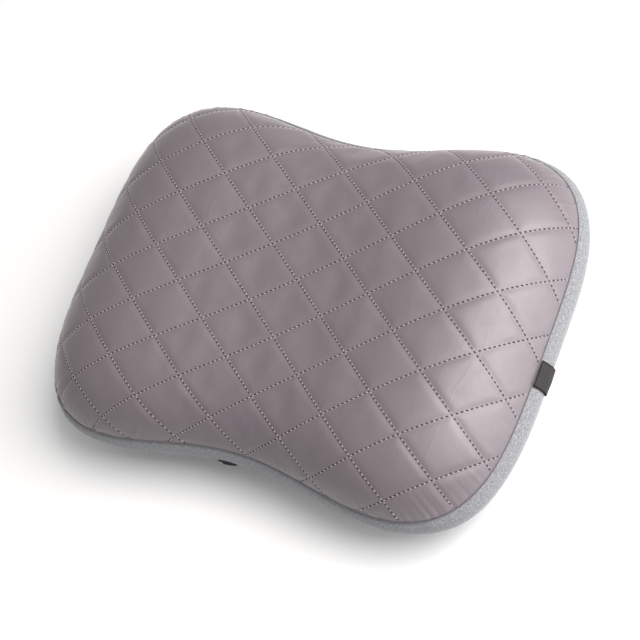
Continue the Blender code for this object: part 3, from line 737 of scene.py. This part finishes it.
def back_sheet():
    """The whole panel before it is cut: a grid of spokes and rows from the seam to the middle underneath."""
    points = np.zeros((ROWS, SPOKES, 3))
    for spoke in range(SPOKES):
        run = row_share * profile_arc[spoke, -1]
        for axis in range(3):
            points[:, spoke, axis] = np.interp(run, profile_arc[spoke], profile[spoke, :, axis])
    down = row_share[:, None] * profile_arc[None, :, -1]
    rest_arc = profile_arc[None, :, -1] - down
    cloth = np.stack([rest_arc * np.cos(heather_angle), rest_arc * np.sin(heather_angle)], -1)
    faces = [(row * SPOKES + spoke, row * SPOKES + (spoke + 1) % SPOKES,
              (row + 1) * SPOKES + (spoke + 1) % SPOKES, (row + 1) * SPOKES + spoke)
             for row in range(ROWS - 1) for spoke in range(SPOKES)]
    faces.append([(ROWS - 1) * SPOKES + spoke for spoke in range(SPOKES)])
    item = new_mesh("back_cover", points.reshape(-1, 3), faces)
    set_cloth_map(item, cloth.reshape(-1, 2))
    if item.data.vertices[ROWS // 3 * SPOKES].normal.x < 0:
        item.data.flip_normals()
    signed = np.where(heather_angle > math.pi, heather_angle - 2 * math.pi, heather_angle)
    down = down.ravel()
    gathers = np.tile(seam_puckers(signed), ROWS) * PUCKER_HEIGHT * np.exp(-down / GATHER_REACH)
    soft = np.array([noise.noise(Vector(point) * FOLDS_PER_METRE) for point in points.reshape(-1, 3)])
    folds = FOLD_HEIGHT * soft * np.clip(down / FOLD_START, 0, 1)
    draw = (SEAM_TUCK + EXTRA_TUCK) * np.exp(-(down / TUCK_REACH) ** 2)
    lift = gathers * np.clip(down / PUCKER_START, 0, 1) + folds - draw
    moved = corners_of(item) + corners_of(item, "normal") * lift[:, None]
    flat_under = points.reshape(-1, 3)[:, 2] < 1e-5
    moved[:, 2] = np.where(flat_under, 0, np.maximum(moved[:, 2], 0))
    place_corners(item, moved)
    return item


def cut_panel(whole, name, side):
    """The half of the panel on one side of the zip, with the zip's window cut out and its hem turned up."""
    mesh = bmesh.new()
    mesh.from_mesh(whole.data)

    def slice_at(point, normal, **keep):
        under = [face for face in mesh.faces
                 if keep or max(corner.co.z for corner in face.verts) < UNDER_HEIGHT]
        geometry = list({item for face in under for item in (*face.verts, *face.edges)}) + under
        bmesh.ops.bisect_plane(mesh, geom=geometry, dist=1e-6, plane_co=point, plane_no=normal, **keep)

    slice_at((0, ZIP_Y + side * CUT_GAP, 0), (0, -side, 0), clear_outer=True)
    slice_at((0, ZIP_Y + side * WINDOW_Y, 0), (0, 1, 0))
    for end in (-1, 1):
        slice_at((end * WINDOW_X, 0, 0), (1, 0, 0))
    middles = {face: face.calc_center_median() for face in mesh.faces}
    in_window = [face for face, middle in middles.items()
                 if abs(middle.x) < WINDOW_X and middle.z < UNDER_HEIGHT and abs(middle.y - ZIP_Y) < WINDOW_Y]
    bmesh.ops.delete(mesh, geom=in_window, context="FACES")
    hem = [edge for edge in mesh.edges if edge.is_boundary
           and all(abs(abs(corner.co.y - ZIP_Y) - WINDOW_Y) < 1e-5 and abs(corner.co.x) < WINDOW_X + 1e-5
                   and corner.co.z < UNDER_HEIGHT for corner in edge.verts)]
    cloth_layer = mesh.loops.layers.uv["cloth"]
    last = Vector((0, 0))
    for inward, rise in HEM_TURN:
        turned = Vector((HEM_ROUND * inward * 0.5, HEM_ROUND * rise))
        made = bmesh.ops.extrude_edge_only(mesh, edges=hem)["geom"]
        for corner in (item for item in made if isinstance(item, bmesh.types.BMVert)):
            corner.co.y = ZIP_Y + side * (WINDOW_Y - turned.x)
            corner.co.z = turned.y
            for loop in corner.link_loops:
                loop[cloth_layer].uv.y -= side * (turned - last).length
        last = turned
        hem = [item for item in made if isinstance(item, bmesh.types.BMEdge)]
    item = show(name, mesh_of(name, mesh))
    wall = item.modifiers.new("Wall", "SOLIDIFY")
    wall.thickness = BACK_THICKNESS
    wall.offset = -1
    return item


def heather_material():
    """Heather grey polyester: pale and dark fibres spun together and woven plain, with a soft nap."""
    material, tree, shader = start_material("heather cloth", (0.42, 0.42, 0.44), 0.88, Sheen_Weight=0.25,
                                            Sheen_Roughness=0.5, Specular_IOR_Level=0.3)
    flat = add(tree, "ShaderNodeUVMap", uv_map="cloth").outputs[0]
    weave = use_group(tree, weave_group, {"Vector": flat, "Threads per metre": 1500.0})
    weft = noise_of(tree, stretched(tree, flat, (0.35, 1.0, 1.0)), 1250.0, 3.0, 0.65)
    warp = noise_of(tree, stretched(tree, flat, (1.0, 0.30, 1.0)), 1100.0, 3.0, 0.65)
    flecks = maths(tree, "MULTIPLY_ADD", weft, 0.55, maths(tree, "MULTIPLY", warp, 0.45))
    tone = add(tree, "ShaderNodeValToRGB", {"Fac": ranged(tree, flecks, 0.32, 0.68)})
    ramp = tone.color_ramp
    ramp.elements[0].color = (0.092, 0.094, 0.105, 1)
    ramp.elements[1].color = (0.37, 0.38, 0.40, 1)
    middle = ramp.elements.new(0.5)
    middle.color = (0.197, 0.200, 0.214, 1)
    tree.links.new(tone.outputs[0], shader.inputs["Base Color"])
    fuzz = bump(tree, shader, flecks, 0.0003, 0.5)
    bump(tree, shader, weave["Height"], 0.00012, 0.7, fuzz)
    return material


valve_out = -Vector(joints["valve_flap_open"]["axis"])
valve_across = Vector((0, 0, 1)).cross(valve_out).normalized()
valve_turn = Matrix((valve_across, valve_out.cross(valve_across), valve_out)).transposed()


def radius_round_valve(node, centre):
    """Largest distance of a node's corners from the valve's axis, and its extent along the axis."""
    spots = [valve_turn.transposed() @ (corner.co - centre) for corner in nodes[node].data.vertices]
    return max(spot.xy.length for spot in spots), min(spot.z for spot in spots), max(spot.z for spot in spots)


flap_low, flap_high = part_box("valve_flap")
flap_middle = (flap_low + flap_high) / 2
lip_radius, base_low, base_high = radius_round_valve("valve_base", flap_middle)
whole = back_sheet()
heather = heather_material()
bpy.ops.mesh.primitive_cylinder_add(vertices=96, radius=lip_radius + HOLE_FIT, depth=0.03)
hole = bpy.context.object
hole.matrix_world = Matrix.Translation(flap_middle) @ valve_turn.to_4x4()
back_panels = {half: cut_panel(whole, "back_cover_" + half, side)
               for half, side in (("front", -1), ("rear", 1))}
cut = back_panels["front"].modifiers.new("Valve hole", "BOOLEAN")
cut.object = hole
cut.solver = "EXACT"
bpy.context.view_layer.update()
for half, panel in back_panels.items():
    stand_in(baked(panel), heather, "cover", "heather", "back_panel_" + half)
bpy.data.objects.remove(hole)
bpy.data.objects.remove(whole)

# --- Seam line ---
# A thin dark cord laid in the groove where the satin and the heather cloth are sewn together: painted shade
# for the groove's shadow line.
SEAM_SHADE_CORD = 0.00034
SEAM_POINTS = 960
SEAM_LEAN = 0.35             # the seam draws in this much down for each unit inwards
SEAM_SHOWS = 0.0004          # how far the painted-shade cord stands out of the tucked seam
seam_angle = np.arange(SEAM_POINTS) * 2 * math.pi / SEAM_POINTS - math.pi
seam_line = top_form(seam_angle, seam_reach(seam_angle))
seam_outward = np.stack([np.cos(seam_angle), np.sin(seam_angle), np.full(SEAM_POINTS, SEAM_LEAN)], -1)
seam_line = seam_line - seam_outward * (SEAM_TUCK - SEAM_SHOWS)
data = bpy.data.curves.new("seam_thread", "CURVE")
data.dimensions = "3D"
data.bevel_depth = SEAM_SHADE_CORD
data.bevel_resolution = 2
run = data.splines.new("POLY")
run.points.add(SEAM_POINTS - 1)
for point, place in zip(run.points, seam_line):
    point.co = (*place, 1)
run.use_cyclic_u = True
seam_curve = show("seam_thread", data)
round_shade_cord = seam_curve.evaluated_get(bpy.context.evaluated_depsgraph_get())
seam_mesh = bpy.data.meshes.new_from_object(round_shade_cord)
bpy.data.objects.remove(seam_curve)
seam_thread = show("seam_thread", seam_mesh)
smooth(seam_thread)
# the cord of painted shade takes the thread material, in dark grey
paint(seam_thread, thread_material("seam shade cord", (0.075, 0.072, 0.078), (0.16, 0.153, 0.162)))
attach(seam_thread, "cover")

# --- Zip ---
# Nylon coil zip set back behind its hem: two woven tapes sewn to the panel, a coil of teeth along each, metal
# stops, and a slider whose post runs between the coils and whose pull hangs on a bail.
TOOTH_PITCH = 0.00155
TOOTH = (0.00170, 0.00095, 0.00130)
TOOTH_LEAN = 0.18            # along the zip for each unit across it
TAPE_ROUND = 0.00015
SPINE_HALF = 0.00035         # half the width of the cord inside a coil
SPINE_OFF = 0.0004           # from the coil's middle to its cord's
SPINE_ROUND = 0.0003
STOP_ROUND = 0.00035
CASTING_ROUND = 0.00012
CASTING_EDGE = 0.5           # sharper edges than this angle are rounded
TOPSTITCH = (0.0022, 0.0006, 0.0002)
TOPSTITCH_PITCH = 0.0030
TOPSTITCH_OFF = 0.0022       # from the hem to its row of stitches
TOPSTITCH_RUN = 0.004        # how far the row goes on past the zip
TOPSTITCH_DEPTH = 0.00012


def woven_tape_material():
    """Black herringbone tape: fine diagonal ribs that turn back on themselves."""
    material, tree, shader = start_material("zip tape", (0.030, 0.030, 0.032), 0.75, Sheen_Weight=0.2)
    place = object_point(tree)
    at = add(tree, "ShaderNodeSeparateXYZ", {0: place}).outputs
    folded = maths(tree, "PINGPONG", at[1], 0.0016)
    along = maths(tree, "ADD", at[0], folded)
    rib = maths(tree, "SINE", maths(tree, "MULTIPLY", along, 2 * math.pi / 0.0009))
    slub = noise_of(tree, place, 1400.0, 2.0)
    vary_colour(tree, shader, slub, (0.018, 0.018, 0.020), (0.050, 0.050, 0.054))
    bump(tree, shader, rib, 0.00006, 0.8)
    return material


def nylon_material():
    """Moulded nylon: dark, slightly glossy, dulled in patches."""
    material, tree, shader = start_material("zip nylon", (0.022, 0.022, 0.024), 0.38)
    wear = use_group(tree, wear_group, {"Vector": object_point(tree), "Scale": 500.0})
    vary_roughness(tree, shader, wear["Scuff"], 0.3, 0.25)
    vary_colour(tree, shader, wear["Grain"], (0.016, 0.016, 0.018), (0.040, 0.040, 0.043))
    bump(tree, shader, wear["Grain"], 0.00003, 0.5)
    return material


def gunmetal_material():
    """Dark plated zinc: a satin metal, rubbed brighter where it is handled."""
    material, tree, shader = start_material("zip metal", (0.17, 0.17, 0.18), 0.32, Metallic=1.0)
    wear = use_group(tree, wear_group, {"Vector": object_point(tree), "Scale": 350.0})
    vary_colour(tree, shader, wear["Scuff"], (0.10, 0.10, 0.11), (0.30, 0.30, 0.31))
    vary_roughness(tree, shader, wear["Grain"], 0.25, 0.22)
    bump(tree, shader, wear["Scuff"], 0.00004, 0.4)
    return material


def rounded_block(name, low, high, bevel, segments=3):
    """Block between two corners with rounded edges."""
    low, high = Vector(low), Vector(high)
    mesh = bmesh.new()
    stretch = Matrix.Translation((low + high) / 2) @ Matrix.Diagonal((*(high - low), 1))
    bmesh.ops.create_cube(mesh, size=1, matrix=stretch)
    bmesh.ops.bevel(mesh, geom=list(mesh.edges), offset=bevel, segments=segments, profile=0.5, affect="EDGES")
    return show(name, mesh_of(name, mesh))


def joined(name, items):
    """One mesh object of several."""
    mesh = bmesh.new()
    for item in items:
        mesh.from_mesh(item.data)
        bpy.data.objects.remove(item)
    return show(name, mesh_of(name, mesh))


tape_material = woven_tape_material()
nylon = nylon_material()
gunmetal = gunmetal_material()
for end, side in (("front", -1), ("rear", 1)):
    tape = rounded_block("zip_tape_cloth_" + end, *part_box("zip_tape_" + end), TAPE_ROUND, 2)
    stand_in(tape, tape_material, "cover", "zip_nylon", "zip_tape_" + end)
    low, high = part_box("zip_coil_" + end)
    middle = (low + high) / 2
    places = np.arange(low.x + TOOTH_PITCH / 2 * (1.5 - side / 2), high.x - TOOTH_PITCH / 2, TOOTH_PITCH)
    spots = [(x, middle.y, middle.z) for x in places]
    teeth = scatter("zip_teeth_" + end, bead("tooth", TOOTH, 10, 8, -0.6), spots, [(0, 0, -1)] * len(spots),
                    [(TOOTH_LEAN, -side, 0)] * len(spots), nylon, (1.0, 1.0))
    cord_y = middle.y + side * SPINE_OFF
    spine = rounded_block("coil spine", (low.x, cord_y - SPINE_HALF, low.z + SPINE_ROUND),
                          (high.x, cord_y + SPINE_HALF, high.z), SPINE_ROUND)
    coil = joined("zip_coil_teeth_" + end, [teeth, spine])
    stand_in(coil, nylon, "cover", "zip_nylon", "zip_coil_" + end)
for name in ("zip_top_stop_front", "zip_top_stop_rear", "zip_bottom_stop"):
    stop = rounded_block(name + "_crimp", *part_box(name), STOP_ROUND)
    stand_in(stop, gunmetal, "cover", "zip_metal", name)
for name in ("zip_slider", "zip_pull"):
    cast = nodes[name].copy()
    cast.name = name + "_cast"
    cast.parent = None
    cast.matrix_world = Matrix.Identity(4)
    bpy.context.scene.collection.objects.link(cast)
    mesh = bmesh.new()
    mesh.from_mesh(nodes[name].data)
    mesh.transform(nodes[name].matrix_world)
    bmesh.ops.remove_doubles(mesh, verts=mesh.verts, dist=1e-6)
    bmesh.ops.dissolve_limit(mesh, angle_limit=0.02, verts=mesh.verts, edges=mesh.edges)
    sharp = [edge for edge in mesh.edges
             if len(edge.link_faces) == 2 and edge.calc_face_angle() > CASTING_EDGE]
    bmesh.ops.bevel(mesh, geom=sharp, offset=CASTING_ROUND, segments=2, profile=0.5, affect="EDGES",
                    clamp_overlap=True)
    cast.data = mesh_of(name + "_cast", mesh)
    stand_in(cast, gunmetal, name, "zip_metal", name)

# A row of topstitching each side holds the tapes to the hem.
row = np.arange(-WINDOW_X - TOPSTITCH_RUN, WINDOW_X + TOPSTITCH_RUN, TOPSTITCH_PITCH)
topstitch = [(x, ZIP_Y + side * (WINDOW_Y + TOPSTITCH_OFF), TOPSTITCH_DEPTH) for side in (-1, 1) for x in row]
grey_thread = thread_material("grey thread", (0.20, 0.20, 0.21), (0.42, 0.42, 0.44))
topstitches = scatter("zip_topstitches", bead("topstitch", TOPSTITCH, 8, 6, -0.5), topstitch,
                      [(0, 0, -1)] * len(topstitch), [(1, 0, 0)] * len(topstitch), grey_thread)
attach(topstitches, "cover")

# --- Valve ---
# Two-stage valve of black moulded plastic, sunk in the waist's side: a base whose flange is welded to the
# bladder, a wide plug that lets the air out, and in it a small cap over the soft flap that holds the air in.
LATHE_TURNS = 96
PLASTIC_ROUND = 0.00025
FLAP_ROUND = 0.0002
BORE = 0.0064
BASE_WALL = 0.0010
FLANGE = 0.0026
LIP_THICKNESS = 0.0010
LID_GAP = 0.0003             # under a closed lid's rim
LID_FIT = 0.0005             # round a closed lid
PORT = 0.0038
PORT_LIP = 0.0008
RIM_LIP = 0.0009
DISH = 0.0002                # the plug's face is sunk between its two lips
DISH_SLOPE = 0.0003
LEAD_IN = 0.0003
LEAD_HEIGHT = 0.0004
CAP_RADIUS = 0.0060
CAP_DISH = 0.0003
CAP_CHAMFER = (0.0004, 0.0006)
GRIP_RIBS = 24
GRIP_DEPTH = 0.00012
STRAP_HALF = 0.0019
STRAP_THICKNESS = 0.00044
STRAP_ROOT = 0.0006          # how far a strap runs in under its lid's rim
STRAP_ROUND = 0.00015
CAP_STRAP_RISE = 0.0004
HOLE_STITCHES = 26
HOLE_STITCH = (0.0019, 0.0006, 0.0005)
HOLE_STITCH_OFF = 0.0018     # from the edge of the hole


def rounded_profile(points, radius, steps=4):
    """Closed outline with its corners rounded off."""
    made = []
    for index, point in enumerate(points):
        here = Vector(point)
        before, after = Vector(points[index - 1]), Vector(points[(index + 1) % len(points)])
        if here.x < 1e-6:
            made.append(here)
            continue
        near = min(radius, (before - here).length * 0.45, (after - here).length * 0.45)
        start, end = here + (before - here).normalized() * near, here + (after - here).normalized() * near
        for step in range(steps + 1):
            share = step / steps
            made.append(start * (1 - share) ** 2 + here * 2 * share * (1 - share) + end * share ** 2)
    return made


def lathe(name, points, radius=PLASTIC_ROUND, waviness=None):
    """Piece turned about the valve's axis, from (radius, height above the flap) points with rounded corners.

    waviness(angle, radius) says how far a corner moves out from the axis, for ribs.
    """
    outline = rounded_profile(points, radius)
    mesh = bmesh.new()
    rings = []
    for spot in outline:
        if spot.x < 1e-6:
            rings.append([mesh.verts.new(flap_middle + valve_turn @ Vector((0, 0, spot.y)))] * LATHE_TURNS)
            continue
        ring = []
        for turn in range(LATHE_TURNS):
            angle = 2 * math.pi * turn / LATHE_TURNS
            out = spot.x + (waviness(angle, spot.x) if waviness else 0)
            local = Vector((out * math.cos(angle), out * math.sin(angle), spot.y))
            ring.append(mesh.verts.new(flap_middle + valve_turn @ local))
        rings.append(ring)
    for first, second in zip(rings, rings[1:] + rings[:1]):
        for turn in range(LATHE_TURNS):
            after = (turn + 1) % LATHE_TURNS
            unique = list(dict.fromkeys((first[turn], first[after], second[after], second[turn])))
            if len(unique) > 2:
                mesh.faces.new(unique)
    bmesh.ops.recalc_face_normals(mesh, faces=mesh.faces)
    return show(name, mesh_of(name, mesh))


def tether(name, node, edge, height):
    """Thin strap from a lid's rim to its hinge on the lower side."""
    reach = max(-(valve_turn.transposed() @ (corner.co - flap_middle)).y
                for corner in nodes[node].data.vertices)
    strap = rounded_block(name, (-STRAP_HALF, -reach, height - STRAP_THICKNESS / 2),
                          (STRAP_HALF, -edge + STRAP_ROOT, height + STRAP_THICKNESS / 2), STRAP_ROUND)
    strap.data.transform(Matrix.Translation(flap_middle) @ valve_turn.to_4x4())
    return strap


def moulded_material():
    """Black moulded plastic with a fine spark-eroded grain and faint scuffs."""
    material, tree, shader = start_material("valve plastic", (0.012, 0.012, 0.013), 0.34)
    wear = use_group(tree, wear_group, {"Vector": object_point(tree), "Scale": 300.0})
    vary_roughness(tree, shader, wear["Scuff"], 0.25, 0.24)
    vary_colour(tree, shader, wear["Scuff"], (0.009, 0.009, 0.010), (0.024, 0.024, 0.026))
    bump(tree, shader, wear["Grain"], 0.00004, 0.5)
    return material


def silicone_material():
    """Translucent silicone with a powdery surface."""
    material, tree, shader = start_material("silicone", (0.70, 0.70, 0.68), 0.5, Subsurface_Weight=0.3)
    shader.inputs["Subsurface Radius"].default_value = (0.002, 0.002, 0.002)
    dust = noise_of(tree, object_point(tree), 1200.0, 3.0)
    vary_colour(tree, shader, dust, (0.62, 0.62, 0.60), (0.78, 0.78, 0.76))
    bump(tree, shader, dust, 0.00003, 0.5)
    return material


def grip(angle, radius):
    """Finger ribs round the cap's rim."""
    return GRIP_DEPTH * math.cos(GRIP_RIBS * angle) if radius > CAP_RADIUS * 0.9 else 0


plug_low = radius_round_valve("valve_plug", flap_middle)[1]
cap_low, cap_high = radius_round_valve("valve_cap", flap_middle)[1:]
flap_radius, flap_bottom, flap_top = radius_round_valve("valve_flap", flap_middle)
lip_low = base_high - LIP_THICKNESS
flange_high = base_low + LIP_THICKNESS
outer = BORE + BASE_WALL
plug_foot = base_high + LID_GAP
plug_top = plug_foot + LIP_THICKNESS
plug_wall = BORE - LID_FIT
cap_foot = plug_top + LID_GAP
cap_wall = PORT - LID_FIT
plastic = moulded_material()
base = lathe("valve_base_moulding", [
    (BORE, base_high), (lip_radius, base_high), (lip_radius, lip_low), (outer, lip_low), (outer, flange_high),
    (outer + FLANGE, flange_high), (outer + FLANGE, base_low), (BORE, base_low)])
plug = lathe("valve_plug_moulding", [
    (PORT, plug_top), (PORT + PORT_LIP, plug_top), (PORT + PORT_LIP + DISH_SLOPE, plug_top - DISH),
    (lip_radius - RIM_LIP - DISH_SLOPE, plug_top - DISH), (lip_radius - RIM_LIP, plug_top),
    (lip_radius, plug_top), (lip_radius, plug_foot), (plug_wall, plug_foot),
    (plug_wall, plug_low + LEAD_HEIGHT), (plug_wall - LEAD_IN, plug_low), (PORT, plug_low)])
cap = lathe("valve_cap_moulding", [
    (0, cap_high - CAP_DISH), (CAP_RADIUS * 0.55, cap_high - CAP_DISH), (CAP_RADIUS * 0.68, cap_high),
    (CAP_RADIUS - CAP_CHAMFER[0], cap_high), (CAP_RADIUS, cap_high - CAP_CHAMFER[1]), (CAP_RADIUS, cap_foot),
    (cap_wall, cap_foot), (cap_wall, cap_low + LEAD_IN), (cap_wall - LEAD_IN, cap_low), (0, cap_low)],
    waviness=grip)
flap = lathe("valve_flap_disc", [(0, flap_top), (flap_radius, flap_top), (flap_radius, flap_bottom),
                                 (0, flap_bottom)], FLAP_ROUND)
plug_strap = tether("plug strap", "valve_plug", lip_radius, (plug_foot + plug_top) / 2)
cap_strap = tether("cap strap", "valve_cap", CAP_RADIUS, cap_foot + CAP_STRAP_RISE)
plug = joined("valve_plug_moulding", [plug, plug_strap])
cap = joined("valve_cap_moulding", [cap, cap_strap])
for piece, body, node in ((base, "cover", "valve_base"), (plug, "valve_plug", "valve_plug"),
                          (cap, "valve_cap", "valve_cap")):
    stand_in(piece, plastic, body, "valve_plastic", node)
stand_in(flap, silicone_material(), "valve_flap", "silicone", "valve_flap")

# A row of grey stitches holds the cover round its hole to the facing behind it.
ring_spots, ring_ups, ring_ways = [], [], []
for turn in range(HOLE_STITCHES):
    angle = 2 * math.pi * (turn + 0.5) / HOLE_STITCHES
    out = valve_turn @ Vector((math.cos(angle), math.sin(angle), 0))
    start = flap_middle + out * (lip_radius + HOLE_FIT + HOLE_STITCH_OFF) + valve_out * 0.03
    found, spot, normal, _ = back_panels["front"].ray_cast(start, -valve_out)
    if found:
        ring_spots.append(spot)
        ring_ups.append(normal)
        ring_ways.append(valve_turn @ Vector((-math.sin(angle), math.cos(angle), 0)))
ring = scatter("valve_hole_stitches", bead("hole stitch", HOLE_STITCH, 8, 6, -0.3), ring_spots, ring_ups,
               ring_ways, grey_thread)
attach(ring, "cover")

# --- Side tab ---
# Loop of charcoal grosgrain ribbon, folded double, its ends sewn into the seam at the end of the pillow. Its
# two layers lie on each other over the side, and the fold at the bottom stands a little open.
RIBBON_THICKNESS = 0.00042
RIBBON_ROWS = 40
RIBBON_COLUMNS = 25
FOLD_RADIUS = 0.00055
INNER_LIFT = 0.0004          # of the layer that lies on the cover
OUTER_LIFT = 0.0010
OUTER_SWELL = 0.0007         # more lift towards the fold
RIPPLE = 0.00018
RIB_PITCH = 0.00075
tab_low, tab_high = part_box("side_tab")
tab_middle = (tab_low.y + tab_high.y) / 2
tab_width = tab_high.y - tab_low.y


def side_profile(height):
    """How far out the pillow's end stands at a height."""
    rise = height - GIRTH
    if rise > 0:
        reach = max(1 - (rise / CROWN) ** TOP_ROUNDNESS, 0) ** (1 / TOP_FULLNESS)
    else:
        reach = max(1 - (-rise / (GIRTH + SETTLE)) ** 2, 0) ** (1 / BOTTOM_FULLNESS)
    return HALF_LENGTH * reach


def ribbon_material():
    """Charcoal grosgrain: fine cross ribs, matt, darker in a narrow strip along each side."""
    material, tree, shader = start_material("grosgrain ribbon", (0.035, 0.032, 0.034), 0.85,
                                            Specular_IOR_Level=0.25)
    flat = add(tree, "ShaderNodeUVMap", uv_map="cloth").outputs[0]
    at = add(tree, "ShaderNodeSeparateXYZ", {0: flat}).outputs
    rib = maths(tree, "SINE", maths(tree, "MULTIPLY", at[1], 2 * math.pi / RIB_PITCH))
    slub = noise_of(tree, stretched(tree, flat, (0.25, 1.0, 1.0)), 900.0, 3.0)
    edge = ranged(tree, maths(tree, "ABSOLUTE", at[0]), tab_width * 0.42, tab_width * 0.47)
    body = colour_between(tree, slub, (0.024, 0.022, 0.0235), (0.046, 0.042, 0.044))
    vary_colour(tree, shader, edge, body, (0.010, 0.009, 0.0095))
    bump(tree, shader, rib, 0.00010, 0.9)
    return material


def make_ribbon():
    """The ribbon's path goes down over the side, round the fold and back up behind, and is then thickened."""
    top = tab_high.z
    outer_path, inner_path = [], []
    for row in range(RIBBON_ROWS + 1):
        height = top - (top - tab_low.z - FOLD_RADIUS) * row / RIBBON_ROWS
        out = side_profile(height)
        lift = OUTER_LIFT + OUTER_SWELL * (row / RIBBON_ROWS) ** 2
        outer_path.append((out + lift + RIBBON_THICKNESS, height))
        inner_path.append((out + INNER_LIFT, height))
    last_out, last_in = outer_path[-1], inner_path[-1]
    middle = ((last_out[0] + last_in[0]) / 2, last_out[1])
    half = (last_out[0] - last_in[0]) / 2
    bend = [(middle[0] + half * math.cos(turn), middle[1] - half * math.sin(turn))
            for turn in np.linspace(0, math.pi, 9)[1:-1]]
    path = outer_path + bend + inner_path[::-1]
    run = np.insert(np.cumsum(np.linalg.norm(np.diff(np.array(path), axis=0), axis=1)), 0, 0)
    across = np.linspace(-0.5, 0.5, RIBBON_COLUMNS) * tab_width
    points, flat = [], []
    for (x, z), length in zip(path, run):
        for y in across:
            ripple = RIPPLE * math.sin(y / tab_width * 7 + 1.3) * min(1, (top - z) / 0.008)
            points.append((x + ripple, tab_middle + y, z))
            flat.append((y, length))
    wide = RIBBON_COLUMNS
    starts = [row * wide + column for row in range(len(path) - 1) for column in range(wide - 1)]
    faces = [(first, first + wide, first + wide + 1, first + 1) for first in starts]
    item = new_mesh("side_tab_ribbon", points, faces)
    set_cloth_map(item, np.array(flat))
    if item.data.polygons[5].normal.x < 0:
        item.data.flip_normals()
    wall = item.modifiers.new("Thickness", "SOLIDIFY")
    wall.thickness = RIBBON_THICKNESS
    wall.offset = -1
    baked(item)
    smooth(item)
    return item


ribbon = make_ribbon()
stand_in(ribbon, ribbon_material(), "side_tab", "ribbon", "side_tab")

# --- Studio ---
# A pale floor, a large soft lamp high on the tab's side, a small low one behind it that catches the edge, and
# the camera, which looks down from the front right.
def floor_material():
    material, tree, shader = start_material("studio floor", (0.93, 0.93, 0.93), 0.75)
    grain = noise_of(tree, object_point(tree), 9.0, 3.0)
    vary_colour(tree, shader, grain, (0.92, 0.92, 0.92), (0.94, 0.94, 0.94))
    return material


def soft_lamp(name, place, target, size, power, colour=(1, 1, 1)):
    light = bpy.data.lights.new(name, "AREA")
    light.shape = "RECTANGLE"
    light.size, light.size_y = size
    light.energy = power
    light.color = colour
    lamp = show(name, light)
    lamp.location = place
    lamp.rotation_euler = (Vector(target) - Vector(place)).to_track_quat("-Z", "Y").to_euler()


bpy.ops.mesh.primitive_plane_add(size=9)
floor = bpy.context.object
floor.name = "studio_floor"
floor.data.materials.append(floor_material())

world = bpy.data.worlds.new("studio")
world.use_nodes = True
world.node_tree.nodes["Background"].inputs["Color"].default_value = (1, 1, 1, 1)
world.node_tree.nodes["Background"].inputs["Strength"].default_value = 0.43
bpy.context.scene.world = world
soft_lamp("key", (1.00, 0.42, 1.25), (0.05, 0, 0.06), (1.2, 1.2), 42, (1, 0.98, 0.965))
soft_lamp("rim", (1.6, 0.3, 0.45), (0.2, 0, 0.06), (0.8, 0.6), 9)
bpy.context.scene.view_settings.view_transform = "Standard"

lens = bpy.data.cameras.new("camera")
lens.lens = 87.84
camera = show("camera", lens)
right = Vector((0.84005, 0.36374, -0.40251))
down = Vector((0.20164, -0.89812, -0.39080))
forward = Vector((-0.50365, 0.24713, -0.82781))
camera.matrix_world = Matrix((right, -down, -forward)).transposed().to_4x4()
camera.location = (0.6372, -0.3161, 1.0182 + GIRTH)
bpy.context.scene.camera = camera
